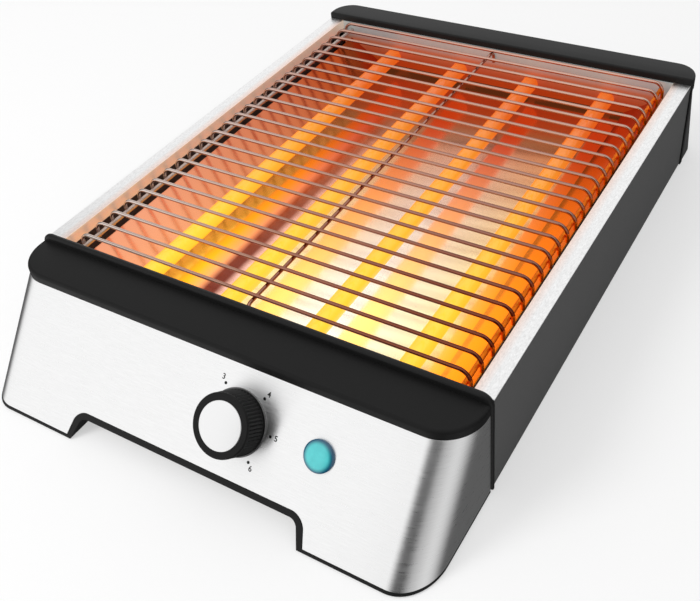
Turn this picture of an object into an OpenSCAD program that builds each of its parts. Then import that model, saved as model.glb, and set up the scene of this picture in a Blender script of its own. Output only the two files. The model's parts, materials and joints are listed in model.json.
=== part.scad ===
// Flat toaster: an open rack over quartz heaters, between a leaning front with the timer and a rear end.
// Millimetres. X to the right, Y to the rear, Z up, origin under the middle of the outline.

/* [Body] */
// Width over the collars
body_w = 260; // [230:1:320]
// Length of the toasting bay between the collars
bay_l = 280; // [240:1:360]
// Height of the front cap and the rails above the table
deck_h = 58.5; // [55:0.5:70]
// How far a collar's bead stands above the deck
bead_rise = 4; // [2:0.5:8]
// Thickness of a collar
collar_t = 3.6; // [3:0.1:6]
// Radius of the front collar's upper corners
collar_r = 6.3; // [2:0.1:12]
// Height of a collar's lower edge above the soles
collar_lift = 0.8; // [0:0.1:3]
// How far a foot pad stands below the soles
pad_proud = 0.8; // [0.5:0.1:3]
// Height of the sheet metal's lower edge above the soles
sheet_lift = 1.2; // [0.9:0.1:4]
// Thickness of the sheet metal
sheet_t = 0.8; // [0.5:0.1:1.5]
// How far the sheets stand in from the collar on each side
sheet_inset = 0.8; // [0.3:0.1:3]

/* [Front end] */
// Depth of the front cap from the bay
cap_d = 26.3; // [22:0.1:40]
// Height of the front cap
cap_h = 5; // [4:0.1:9]
// Radius of the front cap's corners in plan
cap_r = 20; // [8:0.5:22]
// Rounding of the front cap's upper edge
cap_round = 1.8; // [0.5:0.1:3]
// Wall of the front cap
cap_wall = 2.2; // [1.5:0.1:3]
// How far the front cap overhangs the sheets
cap_over = 0.2; // [0:0.1:0.6]
// Lean of the front panel from upright, in degrees
panel_lean = 38.9; // [25:0.1:45]
// Bend radius of the front panel's corners
panel_r = 18; // [10:0.5:20]
// Wall of both housings
housing_wall = 2.4; // [2:0.1:3.5]
// Clearance between the front panel and the housing behind it
seat_gap = 0.2; // [0.1:0.05:0.5]
// Width of the arch under the front panel
arch_w = 140.8; // [80:0.5:170]
// How far each side of the arch draws in towards its top
arch_taper = 3.4; // [0:0.1:8]
// Height of the arch along the slope
arch_rise = 14; // [10:0.5:18]
// Radius of the arch's upper corners
arch_r = 8; // [3:0.5:9]
// Width of the plastic lip that edges the arch
arch_lip = 3.2; // [1:0.1:4]
// Depth of the arch's lip behind the panel's face
arch_depth = 10.5; // [5:0.5:12]

/* [Rear end] */
// Depth of the rear cap from the bay
rear_cap_d = 18.2; // [16:0.1:30]
// Height of the rear cap
rear_cap_h = 8.5; // [6:0.1:12]
// Radius of the rear cap's corners in plan
rear_cap_r = 14; // [4:0.5:16]
// Rounding of the rear cap's upper edge
rear_round = 2; // [0.5:0.1:4]
// Wall of the rear cap
rear_cap_wall = 2.4; // [1.5:0.1:3.5]
// Lean of the rear wall from upright, in degrees
rear_lean = 15; // [10:0.5:25]
// Bend radius of the rear housing's corners
rear_r = 13; // [6:0.5:15]

/* [Sides and base] */
// Width of a rail
rail_w = 10.3; // [8:0.1:14]
// Height of the skirt that a rail turns down into the bay
skirt_h = 6.6; // [4:0.1:9]
// Width of a side panel's return under the base plate
return_w = 9; // [8:0.5:14]
// Clearance between a side panel's top fold and a rail's skirt
fold_gap = 0.3; // [0.1:0.1:1]
// Thickness of the base plate
base_t = 0.8; // [0.6:0.1:2]
// Clearance between the base plate and the side panels
base_gap = 0.3; // [0.1:0.1:1]
// Length of a vent in the base plate
vent_l = 60; // [30:1:75]
// Width of a vent in the base plate
vent_w = 4; // [2:0.5:6]
// Distance between vents
vent_pitch = 12; // [8:0.5:14]
// Vents in a row
vent_count = 11; // [3:2:13]

/* [Bay] */
// Thickness of an end plate
plate_t = 0.8; // [0.5:0.1:1.5]
// How far the end plates' upper edges lie below the deck
plate_drop = 0.5; // [0:0.1:2]
// Clearance between an end plate and the rails' skirts
plate_gap = 0.3; // [0.1:0.1:1]
// Gap between a reflector's upper edge and the skirt
wing_gap = 5.9; // [3:0.1:9]
// Width of a reflector
wing_w = 22; // [15:0.5:28]
// Rise of a reflector across its width
wing_rise = 14.7; // [8:0.1:18]
// Height of a reflector's lower edge above the tray's floor
wing_lift = 3.2; // [2.8:0.1:6]
// Thickness of a reflector
wing_t = 0.6; // [0.4:0.1:1]

/* [Rack] */
// Number of cross wires
wire_count = 25; // [15:1:29]
// Diameter of a cross wire
wire_d = 2; // [1.5:0.1:3]
// Distance of the first cross wire from the front end of the bay
wire_front = 8.8; // [6:0.1:14]
// Distance of the last cross wire from the rear end of the bay
wire_rear = 5.2; // [4:0.1:14]
// How far the cross wires stand above the rails
rack_rise = 1.9; // [1.2:0.1:3.5]
// Distance of a cross wire's bend from the skirt
wire_edge = 10.9; // [9.5:0.1:14]
// Bend radius of a cross wire
wire_bend_r = 6; // [4:0.1:7]
// Length of a cross wire's straight leg
wire_leg = 4; // [3:0.1:6]
// Diameter of a side wire
side_wire_d = 2.5; // [2:0.1:3.5]
// Depth of the side wires' axes below the cross wires
side_wire_drop = 6.9; // [6.2:0.1:8]
// Diameter of the centre wire
centre_wire_d = 2; // [1.5:0.1:3]
// Bend radius of the centre wire's ends
centre_bend_r = 4; // [3:0.1:6]
// Length of the centre wire's turned-down ends
centre_leg = 4; // [2:0.5:8]
// Gap left for a weld between wires
weld_gap = 0.05; // [0.02:0.01:0.1]
// Clearance round a side wire in an end plate
wire_hole_gap = 0.2; // [0.1:0.05:0.5]
// Clearance between the centre wire's rear leg and the end plate
centre_gap = 0.3; // [0.2:0.1:1]

/* [Heaters] */
// Number of quartz tubes
tube_count = 4; // [2:1:5]
// Distance of the outer tubes from the reflectors' lower edges
tube_edge = 13; // [10:0.5:20]
// Height of the tubes' axes above the tray's floor
tube_lift = 10.7; // [9:0.1:13]
// Diameter of a tube
tube_d = 10; // [8:0.5:12]
// Wall of a tube
tube_wall = 1; // [0.6:0.1:1.5]
// How far a tube runs past the bay at each end
tube_over = 9; // [6:0.5:11]
// Diameter of a heating element
element_d = 4; // [3:0.1:5]
// Distance of a heating element's ends from the ends of the bay
element_inset = 4; // [2:0.5:10]
// Diameter of an element's end pin
pin_d = 2.4; // [1.5:0.1:2.6]
// How far an end pin stands out of its bus bar
pin_over = 2; // [1:0.5:3]
// Diameter of a ceramic tube cap
ceramic_d = 15; // [13:0.5:17]
// Length of a ceramic tube cap
ceramic_l = 13; // [12:0.5:14]
// Clearance of a tube and a pin in their seats
seat_fit = 0.06; // [0.04:0.01:0.2]
// Clearance round tubes and caps in plates and collars
pass_gap = 0.4; // [0.2:0.1:1]
// Thickness of a bus bar
bus_t = 0.8; // [0.5:0.1:1.5]
// Height of a bus bar
bus_h = 8; // [6:0.5:10]
// How far a bus bar runs past the outer pins
bus_over = 6; // [4:0.5:10]

/* [Crumb tray] */
// Height of the tray's underside above the table
tray_z = 27.2; // [25:0.1:29]
// Thickness of the tray's sheet
tray_t = 0.6; // [0.4:0.1:1]
// Height of the tray's lip above its floor
tray_lip = 2.4; // [1.5:0.1:2.6]
// How far the tray reaches under each reflector
tray_under = 9.3; // [7:0.1:12]
// Distance of the tray from the front end plate
tray_front = 2; // [1:0.5:6]
// Running clearance between the tray and its runners
tray_gap = 0.15; // [0.1:0.05:0.4]
// Side clearance between the tray and its runners
tray_side_gap = 0.5; // [0.3:0.1:1]
// Clearance round the tray in the slots at the rear
slot_gap = 0.8; // [0.4:0.1:1.5]
// Thickness of a runner's sheet
runner_t = 0.8; // [0.6:0.1:1.5]
// Width of a runner's ledge under the tray
runner_ledge = 8; // [5:0.5:12]
// Width of a runner's foot on the base plate
runner_foot = 7; // [5:0.5:10]
// How far the tray's pull covers the slot on each side
pull_cover = 3; // [1.5:0.5:6]
// Thickness of the pull's plate
pull_t = 2; // [1.5:0.1:2.5]
// Width of the pull's finger ledge
ledge_w = 90; // [50:1:140]
// Depth of the pull's finger ledge
ledge_d = 3; // [2:0.1:3.5]
// Thickness of the pull's finger ledge
ledge_t = 2.2; // [1.5:0.1:3]
// Clearance between the pull and the rear wall
pull_gap = 0.3; // [0.2:0.05:0.6]

/* [Timer] */
// Place of the knob across the panel
knob_x = 23; // [-20:0.5:28]
// Place of the knob down the slope
knob_s = 25.8; // [23:0.1:29]
// Diameter of the knob's base
knob_d = 30.6; // [26:0.1:36]
// Diameter of the knob's front
knob_front_d = 28.5; // [25:0.1:32]
// Height of the knob's front above the panel
knob_h = 13.1; // [11:0.1:18]
// Gap between the knob and its ring
knob_lift = 0.3; // [0.2:0.05:0.6]
// Depth of the hollow behind the knob
knob_hollow = 6; // [4:0.5:7]
// Wall round the hollow behind the knob
knob_wall = 2.4; // [1.5:0.1:3.5]
// Diameter of the knob's hub
hub_d = 11; // [9:0.5:13]
// Depth of the knob's bore for the shaft
hub_bore = 7.4; // [5:0.1:8]
// Diameter of the silver disc
disc_d = 23.2; // [18:0.1:24]
// Thickness of the silver disc
disc_t = 0.9; // [0.6:0.1:1.2]
// Depth of the disc's seat in the knob
disc_seat = 0.8; // [0.5:0.1:1.2]
// Clearance round the disc
disc_gap = 0.05; // [0.03:0.01:0.2]
// Width of the pointer groove
pointer_w = 1.2; // [0.8:0.1:2]
// Depth of the pointer groove
pointer_depth = 0.5; // [0.3:0.1:0.8]
// Direction of the pointer at rest, in degrees anticlockwise from the right
pointer_turn = 180; // [0:1:359]
// Diameter of the knob's base ring
ring_d = 31.4; // [31:0.1:37]
// Width of the knob's base ring
ring_w = 3; // [1.5:0.1:4]
// Height of the knob's base ring
ring_h = 1; // [0.6:0.1:1.5]
// Diameter of the shaft
shaft_d = 6; // [5:0.1:6.4]
// Depth of the shaft's flat
shaft_flat = 1.2; // [0.6:0.1:1.6]
// Running clearance round the shaft
shaft_gap = 0.05; // [0.02:0.01:0.1]
// How far the shaft reaches into the timer
shaft_in = 12; // [8:0.5:16]
// Width of the timer's case
timer_w = 30; // [26:0.5:31]
// Depth of the timer's case
timer_l = 18; // [17:0.5:19]
// Diameter of the timer's bush
bush_d = 9; // [8:0.1:10]
// How far the bush stands above its nut
bush_over = 0.6; // [0.3:0.1:0.9]
// Size of the nut over its corners
nut_d = 14; // [13:0.1:18]
// Height of the nut
nut_h = 2; // [1.5:0.1:2.2]
// Clearance round the bush
bush_gap = 0.2; // [0.1:0.05:0.5]

/* [Pilot light] */
// Place of the lens across the panel
lens_x = 67; // [58:0.5:85]
// Place of the lens down the slope
lens_s = 25.2; // [22:0.1:30]
// Diameter of the lens
lens_d = 14.9; // [13:0.1:18]
// Height of the lens's rim
lens_rim = 1; // [0.6:0.1:2]
// Height of the lens's dome above its rim
lens_dome = 1.4; // [0.8:0.1:3]
// Diameter of the lens's stem
stem_d = 10; // [8:0.5:11]
// Length of the lens's stem behind the panel
stem_l = 9; // [7:0.5:10]
// Clearance round the stem
stem_gap = 0.2; // [0.1:0.05:0.5]
// Diameter of the clip behind the lens
clip_d = 16; // [15:0.5:18]
// Thickness of the clip behind the lens
clip_t = 1.5; // [1:0.1:2.5]
// Diameter of the lamp
lamp_d = 6; // [4:0.5:7]
// Length of the lamp
lamp_l = 5; // [3:0.5:6]

/* [Wiring] */
// Diameter of the inner lead
lead_d = 3.2; // [2:0.1:3.6]
// Height of the inner lead above the table
lead_z = 20; // [19.5:0.1:21]
// Distance of the inner lead from the side panels' outer faces
lead_edge = 6.7; // [6:0.1:7.5]
// Depth of the inner lead's front run, from the bay
lead_front = 30; // [28:0.5:32]
// Depth of the inner lead's rear run, from the bay
lead_rear = 14; // [12.5:0.5:15]
// Bend radius of the inner lead
lead_bend = 8; // [5:0.5:10]
// Clearance round the inner lead in the collars
lead_gap = 0.4; // [0.2:0.1:1]
// Width of the terminal block
block_w = 30; // [20:1:40]
// Depth of the terminal block
block_l = 14; // [12:0.5:16]
// Height of the terminal block
block_h = 12; // [8:0.5:13]
// Distance of the terminal block's middle from the left flank
block_edge = 85; // [80:1:90]
// Diameter of the thermal cut-out
cutout_d = 16; // [12:0.5:18]
// Height of the thermal cut-out
cutout_h = 6; // [4:0.5:9]
// Place of the thermal cut-out across the front
cutout_x = -45; // [-70:1:-20]
// Distance of the cord gland from the left flank
gland_edge = 40; // [30:1:50]
// Height of the cord gland above the table
gland_z = 15; // [13.5:0.1:16]
// Diameter of the cord gland's bore
gland_bore = 7.2; // [6:0.1:8]
// Diameter of the cord gland's body
gland_d = 11.8; // [10.5:0.1:13]
// Diameter of the cord gland's flange
gland_flange_d = 16; // [15:0.5:18]
// Thickness of the cord gland's flange
gland_flange_t = 1.8; // [1.2:0.1:2.2]
// Length of the cord gland behind its flange
gland_l = 9; // [5:0.5:11]
// Clearance round the cord gland
gland_gap = 0.15; // [0.1:0.05:0.4]

/* [Fasteners and feet] */
// Diameter of a foot pad
pad_d = 14; // [8:0.5:18]
// Depth of a foot pad's seat
pad_seat = 1.2; // [0.8:0.1:2]
// Clearance round a foot pad
pad_gap = 0.15; // [0.1:0.05:0.4]
// Thickness of a housing's floor over the feet
foot_t = 3; // [2.6:0.1:5]
// Distance of a foot's floor from the arch
foot_edge = 4; // [2:0.5:12]
// Distance of the foot pads from the middle
foot_x = 100; // [98:0.5:104]
// Distance of the front foot pads from the bay
foot_front = 44; // [20:0.5:48]
// Distance of the rear foot pads from the bay
foot_rear = 16; // [14:0.5:18]
// Width of a rear foot's floor
foot_floor_w = 50; // [46:0.5:60]
// Diameter of a screw
screw_d = 3; // [2.5:0.1:3.4]
// Diameter of a screw's head
head_d = 5.6; // [5:0.1:6]
// Height of a screw's head
head_h = 1.6; // [1:0.1:1.9]
// Clearance round a screw
screw_gap = 0.1; // [0.05:0.05:0.3]
// Distance of the collar screws from the sheets' outer faces
screw_edge = 6.2; // [5.5:0.1:6.5]
// Height of the lower collar screws
screw_low_z = 11; // [10:0.5:12]
// Height of the upper collar screws
screw_high_z = 42; // [36:0.5:44]
// Diameter of a screw boss
boss_d = 8; // [6.5:0.1:9]
// Length of a screw boss
boss_l = 9; // [6:0.5:11]
// Depth of a screw in its boss
screw_bite = 7; // [4:0.5:9]
// Distance of the base screws from the sheets' outer faces
base_screw_edge = 5; // [4.5:0.1:5.5]
// Distance of the base screws from the ends of the bay
base_screw_end = 20; // [10:0.5:40]
// How far a base screw reaches past the base plate
base_screw_over = 3; // [1:0.5:5]

/* [Hidden] */
$fn = 64;
// Steps in a quarter turn of an outline's arc
arc_steps = 16;
// Overrun of a cut past the face that it opens
cut = 1;

bead_h = deck_h + bead_rise;
sole_z = pad_proud;
sheet_z = sole_z + sheet_lift;
collar_z = sole_z + collar_lift;
half_w = body_w / 2;
sheet_x = half_w - sheet_inset;
skirt_x = sheet_x - rail_w;
cap_z = deck_h - cap_h;
rear_cap_z = bead_h - rear_cap_h;

// Reach of the front and rear toes beyond the bay, and the place of the bay in the whole
front_reach = cap_d + (cap_z - sole_z) * tan(panel_lean);
rear_reach = rear_cap_d + (rear_cap_z - sole_z) * tan(rear_lean);
bay_y = (front_reach - rear_reach - bay_l) / 2;
far = front_reach + rear_reach + bead_h;
panel_l = (cap_z - sheet_z) / cos(panel_lean);

// Depth of the housing's two faces behind the front panel's outer face
wall_out = sheet_t + seat_gap;
wall_in = wall_out + housing_wall;

base_z = sheet_z + sheet_t;
base_top = base_z + base_t;
plate_x = skirt_x - plate_gap;
tray_floor = tray_z + tray_t;
wing_high_x = skirt_x - wing_gap;
wing_low_x = wing_high_x - wing_w;
wing_low_z = tray_floor + wing_lift;
tray_x = wing_low_x + tray_under;
slot_x = tray_x + slot_gap;
slot_z = tray_z - slot_gap;
slot_h = tray_t + tray_lip + 2 * slot_gap;
tube_z = tray_floor + tube_lift;
tube_x = wing_low_x - tube_edge;
tube_pitch = 2 * tube_x / (tube_count - 1);
TUBES = [for (i = [0:tube_count - 1]) i * tube_pitch - tube_x];

wire_z = deck_h + rack_rise - wire_d / 2;
wire_pitch = (bay_l - wire_front - wire_rear) / (wire_count - 1);
wire_x = skirt_x - wire_edge;
side_wire_z = wire_z - side_wire_drop;
side_wire_x = wire_x + wire_bend_r - wire_d / 2 - weld_gap - side_wire_d / 2;
centre_wire_z = wire_z - wire_d / 2 - weld_gap - centre_wire_d / 2;
centre_front = plate_t + centre_gap + centre_wire_d / 2 + centre_bend_r;
centre_rear = bay_l - centre_front;

knob_base = ring_h + knob_lift;
bush_top = nut_h + bush_over;
hub_base = bush_top + knob_lift;
shaft_top = hub_base + hub_bore;
lens_r = lens_d / 2;
dome_r = (lens_r * lens_r + lens_dome * lens_dome) / (2 * lens_dome);
lead_x = sheet_x - lead_edge;
screw_x = sheet_x - screw_edge;
pad_h = pad_proud + pad_seat;
block_x = block_edge - half_w;
gland_x = gland_edge - half_w;
gland_s = (rear_cap_z - gland_z) / cos(rear_lean);
pull_s = (rear_cap_z - slot_z - slot_h / 2) / cos(rear_lean);
pull_h = slot_h / cos(rear_lean) + 2 * pull_cover;

// Puts what is measured from the front end of the bay in its place
module bay() {
    translate([0, bay_y, 0]) children();
}

// Frame of the front panel's slope: Y runs inwards from its outer face, Z up the slope from the cap
module slope() {
    translate([0, -cap_d, cap_z]) rotate([-panel_lean, 0, 0]) children();
}

// Frame of a feature on the front panel: Z runs outwards from its outer face
module on_panel(x, s) {
    slope() translate([x, 0, -s]) rotate([90, 0, 0]) children();
}

// Frame of the rear wall's slope: Y runs outwards from its outer face, Z up the slope from the cap
module rear_slope() {
    translate([0, bay_l + rear_cap_d, rear_cap_z]) rotate([rear_lean, 0, 0]) children();
}

// Frame of a feature on the rear wall: Z runs outwards from its outer face
module on_rear(x, s) {
    rear_slope() translate([x, 0, -s]) rotate([-90, 0, 0]) children();
}

// One piece on each side
module both_sides() {
    children();
    mirror([1, 0, 0]) children();
}

// Turns a flat profile in X and Z into a strip along the bay
module strip(from, to) {
    translate([0, to, 0]) rotate([90, 0, 0]) linear_extrude(height = to - from) children();
}

// A rod along the bay
module rod(x, z, d, from, to) {
    translate([x, from, z]) rotate([-90, 0, 0]) cylinder(d = d, h = to - from);
}

function arc(x, y, r, from, to) = [
    for (i = [0:arc_steps])
        let (a = from + (to - from) * i / arc_steps)
        [x + r * cos(a), y + r * sin(a)]
];

// Outline with two rounded corners at its front edge and a straight back edge
module bow(half, front, back, r) {
    polygon(concat(
        [[-half, back]],
        arc(r - half, front + r, r, 180, 270),
        arc(half - r, front + r, r, 270, 360),
        [[half, back]]
    ));
}

// Leaning solid of the front end, set in from the panel's outer face
module front_prism(inset, low, high, back) {
    intersection() {
        slope() linear_extrude(height = 2 * far, center = true)
            bow(sheet_x - inset, inset, far, panel_r - inset);
        translate([-half_w, -far, low]) cube([body_w, far + back, high - low]);
    }
}

// Leaning shell of the front end between two depths
module front_shell(outer, inner, low, high) {
    difference() {
        front_prism(outer, low, high, -collar_t);
        front_prism(inner, low - cut, high + cut, 0);
    }
}

// Leaning solid of the rear end, set in from the rear wall's outer face
module rear_prism(inset, low, high, from) {
    intersection() {
        rear_slope() linear_extrude(height = 2 * far, center = true)
            mirror([0, 1]) bow(sheet_x - inset, inset, far, rear_r - inset);
        translate([-half_w, from, low]) cube([body_w, far, high - low]);
    }
}

// The arch through the front's lower edge, level from front to rear and drawn in by a lip
module arch_block(lip) {
    half = arch_w / 2 - lip;
    rise = arch_rise - lip;
    r = arch_r - lip;
    side = sqrt(rise * rise + arch_taper * arch_taper);
    corner_x = half - (r * side + (rise - r) * arch_taper) / rise;
    turn = atan(arch_taper / rise);
    low = panel_l;
    spread = arch_taper * low / rise;
    outline = concat(
        [[half + spread, -low]],
        arc(corner_x, rise - r, r, turn, 90),
        arc(-corner_x, rise - r, r, 90, 180 - turn),
        [[-half - spread, -low]]
    );
    translate([0, 0, sheet_z]) rotate([90, 0, 0]) linear_extrude(height = far)
        polygon([for (p = outline) [p[0], p[1] * cos(panel_lean)]]);
}

// Places of the collar screws at one end of the bay
module at_collar_screws() {
    for (side = [-1, 1], z = [screw_low_z, screw_high_z])
        translate([side * screw_x, 0, z]) children();
}

// Cuts for the screws, the ceramic caps and the lead through a collar
module collar_cuts(from, to) {
    at_collar_screws() rod(0, 0, screw_d + 2 * screw_gap, from - cut, to + cut);
    for (x = TUBES) rod(x, tube_z, ceramic_d + 2 * pass_gap, from - cut, to + cut);
    rod(lead_x, lead_z, lead_d + 2 * lead_gap, from - cut, to + cut);
}

// Slot that the tray passes through at the rear
module tray_slot(from, to) {
    translate([-slot_x, from, slot_z]) cube([2 * slot_x, to - from, slot_h]);
}

// Stack of outlines that rounds a cap's upper edge
module rounded_cap(low, high, r, rear_end) {
    hull() for (a = [0:18:90])
        translate([0, 0, low]) linear_extrude(height = high - low - r * (1 - sin(a)))
            cap_plan(r * (1 - cos(a)), rear_end);
}

// Plan of a cap, set in from its outer edges
module cap_plan(inset, rear_end) {
    if (rear_end)
        mirror([0, 1]) bow(half_w - inset, inset - bay_l - rear_cap_d, -bay_l, rear_cap_r - inset);
    else
        bow(sheet_x + cap_over - inset, inset - cap_d - cap_over, -collar_t, cap_r - inset);
}

module front_panel() {
    color([0.82, 0.82, 0.81]) bay() difference() {
        front_shell(0, sheet_t, sheet_z, cap_z);
        arch_block(0);
        on_panel(knob_x, knob_s) cylinder(d = bush_d + 2 * bush_gap, h = 2 * wall_in, center = true);
        on_panel(lens_x, lens_s) cylinder(d = stem_d + 2 * stem_gap, h = 2 * wall_in, center = true);
    }
}

module front_housing() {
    color([0.1, 0.1, 0.1]) bay() difference() {
        union() {
            front_shell(wall_out, wall_in, sole_z, cap_z);
            front_shell(0, wall_in, sole_z, sheet_z - seat_gap);
            intersection() {
                arch_block(seat_gap);
                front_shell(0, arch_depth, sole_z, cap_z);
            }
            intersection() {
                front_prism(wall_out, sole_z, sole_z + foot_t, -collar_t);
                both_sides() translate([arch_w / 2 + foot_edge, -far, 0]) cube([half_w, far, bead_h]);
            }
            intersection() {
                front_prism(wall_out, sole_z, cap_z, -collar_t);
                at_collar_screws() rod(0, 0, boss_d, -collar_t - boss_l, -collar_t);
            }
        }
        arch_block(arch_lip);
        at_collar_screws() rod(0, 0, screw_d + 2 * screw_gap, -collar_t - boss_l, 0);
        on_panel(knob_x, knob_s) cylinder(d = bush_d + 2 * bush_gap, h = 4 * wall_in, center = true);
        on_panel(lens_x, lens_s) cylinder(d = stem_d + 2 * stem_gap, h = 4 * wall_in, center = true);
        both_sides() translate([foot_x, -foot_front, -cut])
            cylinder(d = pad_d + 2 * pad_gap, h = pad_h + cut);
    }
}

module front_cap() {
    color([0.12, 0.12, 0.12]) bay() difference() {
        rounded_cap(cap_z, deck_h, cap_round, false);
        translate([0, 0, cap_z - cut]) linear_extrude(height = cap_h - cap_wall + cut)
            intersection() {
                cap_plan(cap_wall, false);
                translate([-half_w, -far]) square([body_w, far - collar_t - cap_wall]);
            }
    }
}

module front_collar() {
    color([0.09, 0.09, 0.09]) bay() difference() {
        strip(-collar_t, 0) mirror([0, 1]) bow(half_w, -bead_h, -collar_z, collar_r);
        collar_cuts(-collar_t, 0);
    }
}

module rear_housing() {
    from = bay_l + collar_t;
    color([0.1, 0.1, 0.1]) bay() difference() {
        union() {
            difference() {
                rear_prism(0, sole_z, rear_cap_z, from);
                rear_prism(housing_wall, sole_z - cut, rear_cap_z + cut, bay_l);
            }
            intersection() {
                rear_prism(0, sole_z, sole_z + foot_t, from);
                both_sides() translate([sheet_x - foot_floor_w, bay_l, 0]) cube([foot_floor_w, far, bead_h]);
            }
            intersection() {
                rear_prism(0, sole_z, rear_cap_z, from);
                at_collar_screws() rod(0, 0, boss_d, from, from + boss_l);
            }
        }
        tray_slot(from, from + far);
        at_collar_screws() rod(0, 0, screw_d + 2 * screw_gap, bay_l, from + boss_l);
        on_rear(gland_x, gland_s) cylinder(d = gland_d + 2 * gland_gap, h = 4 * housing_wall, center = true);
        both_sides() translate([foot_x, bay_l + foot_rear, -cut])
            cylinder(d = pad_d + 2 * pad_gap, h = pad_h + cut);
    }
}

module rear_cap() {
    color([0.2, 0.2, 0.2]) bay() difference() {
        rounded_cap(rear_cap_z, bead_h, rear_round, true);
        translate([0, 0, rear_cap_z - cut]) linear_extrude(height = rear_cap_h - rear_cap_wall + cut)
            intersection() {
                cap_plan(rear_cap_wall, true);
                translate([-half_w, bay_l + rear_cap_wall]) square([body_w, far]);
            }
    }
}

module rear_collar() {
    color([0.09, 0.09, 0.09]) bay() difference() {
        translate([-half_w, bay_l, collar_z]) cube([body_w, collar_t, rear_cap_z - collar_z]);
        collar_cuts(bay_l, bay_l + collar_t);
        tray_slot(bay_l - cut, bay_l + collar_t + cut);
    }
}

// Painted side panel: an outer wall with a fold under the rail and a return under the base plate
module side_panel() {
    fold_x = skirt_x + sheet_t + fold_gap;
    difference() {
        strip(0, bay_l) union() {
            translate([sheet_x - sheet_t, sheet_z]) square([sheet_t, deck_h - sheet_t - sheet_z]);
            translate([fold_x, deck_h - 2 * sheet_t]) square([sheet_x - fold_x, sheet_t]);
            translate([sheet_x - return_w, sheet_z]) square([return_w, sheet_t]);
        }
        at_base_screws() cylinder(d = screw_d + 2 * screw_gap, h = bead_h, center = true);
    }
}

// Places of the base screws on the right side
module at_base_screws() {
    for (y = [base_screw_end, bay_l - base_screw_end])
        translate([sheet_x - base_screw_edge, y, sheet_z]) children();
}

module left_side_panel() {
    color([0.2, 0.2, 0.21]) bay() mirror([1, 0, 0]) side_panel();
}

module right_side_panel() {
    color([0.2, 0.2, 0.21]) bay() side_panel();
}

// Bright rail along the deck, with a skirt turned down into the bay
module rail() {
    strip(0, bay_l) union() {
        translate([skirt_x, deck_h - sheet_t]) square([rail_w, sheet_t]);
        translate([skirt_x, deck_h - skirt_h]) square([sheet_t, skirt_h]);
    }
}

module left_rail() {
    color([0.85, 0.85, 0.84]) bay() mirror([1, 0, 0]) rail();
}

module right_rail() {
    color([0.85, 0.85, 0.84]) bay() rail();
}

module base_plate() {
    half = sheet_x - sheet_t - base_gap;
    color([0.6, 0.6, 0.6]) bay() difference() {
        translate([-half, 0, base_z]) cube([2 * half, bay_l, base_t]);
        both_sides() at_base_screws() cylinder(d = screw_d + 2 * screw_gap, h = bead_h, center = true);
        for (row = [-1, 0, 1], i = [0:vent_count - 1])
            translate([
                (i - (vent_count - 1) / 2) * vent_pitch - vent_w / 2,
                bay_l / 2 + row * (vent_l + vent_pitch) - vent_l / 2,
                base_z - cut
            ]) cube([vent_w, vent_l, base_t + 2 * cut]);
    }
}

// Sheet that closes one end of the bay, with holes for the tubes and the side wires
module end_plate(from) {
    difference() {
        translate([-plate_x, from, base_top]) cube([2 * plate_x, plate_t, deck_h - plate_drop - base_top]);
        for (x = TUBES) rod(x, tube_z, tube_d + 2 * pass_gap, from - cut, from + plate_t + cut);
        both_sides()
            rod(side_wire_x, side_wire_z, side_wire_d + 2 * wire_hole_gap, from - cut, from + plate_t + cut);
    }
}

module front_end_plate() {
    color([0.75, 0.74, 0.73]) bay() end_plate(0);
}

module rear_end_plate() {
    color([0.75, 0.74, 0.73]) bay() difference() {
        end_plate(bay_l - plate_t);
        tray_slot(bay_l - plate_t - cut, bay_l + cut);
    }
}

// Leaning strip that throws the heat up towards the rack
module reflector() {
    rise = atan(wing_rise / wing_w);
    strip(plate_t, bay_l - plate_t)
        translate([wing_low_x, wing_low_z]) rotate(rise) square([wing_w / cos(rise), wing_t]);
}

module left_reflector() {
    color([0.8, 0.79, 0.77]) bay() mirror([1, 0, 0]) reflector();
}

module right_reflector() {
    color([0.8, 0.79, 0.77]) bay() reflector();
}

// Runner that stands on the base plate, carries the tray's edge and guides its side
module tray_runner() {
    web_x = tray_x + tray_side_gap;
    ledge_z = tray_z - tray_gap - runner_t;
    strip(plate_t, bay_l - plate_t) union() {
        translate([web_x, base_top]) square([runner_t, tray_floor + tray_lip - base_top]);
        translate([web_x - runner_ledge, ledge_z]) square([runner_ledge + runner_t, runner_t]);
        translate([web_x, base_top]) square([runner_foot, runner_t]);
    }
}

module left_tray_runner() {
    color([0.7, 0.7, 0.7]) bay() mirror([1, 0, 0]) tray_runner();
}

module right_tray_runner() {
    color([0.7, 0.7, 0.7]) bay() tray_runner();
}

module crumb_tray() {
    from = plate_t + tray_front;
    rear = bay_l + rear_cap_d + (rear_cap_z - tray_floor) * tan(rear_lean) + pull_gap;
    color([0.85, 0.84, 0.82]) bay() difference() {
        translate([-tray_x, from, tray_z]) cube([2 * tray_x, rear - from, tray_t + tray_lip]);
        translate([tray_t - tray_x, from + tray_t, tray_floor])
            cube([2 * (tray_x - tray_t), far + bay_l, tray_lip + cut]);
        translate([-half_w, bay_l, tray_floor]) cube([body_w, far, tray_lip + cut]);
    }
}

module tray_pull() {
    plate_w = 2 * (slot_x + pull_cover);
    color([0.1, 0.1, 0.1]) bay() on_rear(0, pull_s) union() {
        translate([-plate_w / 2, -pull_h / 2, pull_gap]) cube([plate_w, pull_h, pull_t]);
        translate([-ledge_w / 2, pull_h / 2 - ledge_t, pull_gap]) cube([ledge_w, ledge_t, pull_t + ledge_d]);
    }
}

module quartz_tubes() {
    color([0.9, 0.85, 0.8]) bay() for (x = TUBES) difference() {
        rod(x, tube_z, tube_d, -tube_over, bay_l + tube_over);
        rod(x, tube_z, tube_d - 2 * tube_wall, -tube_over - cut, bay_l + tube_over + cut);
    }
}

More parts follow.
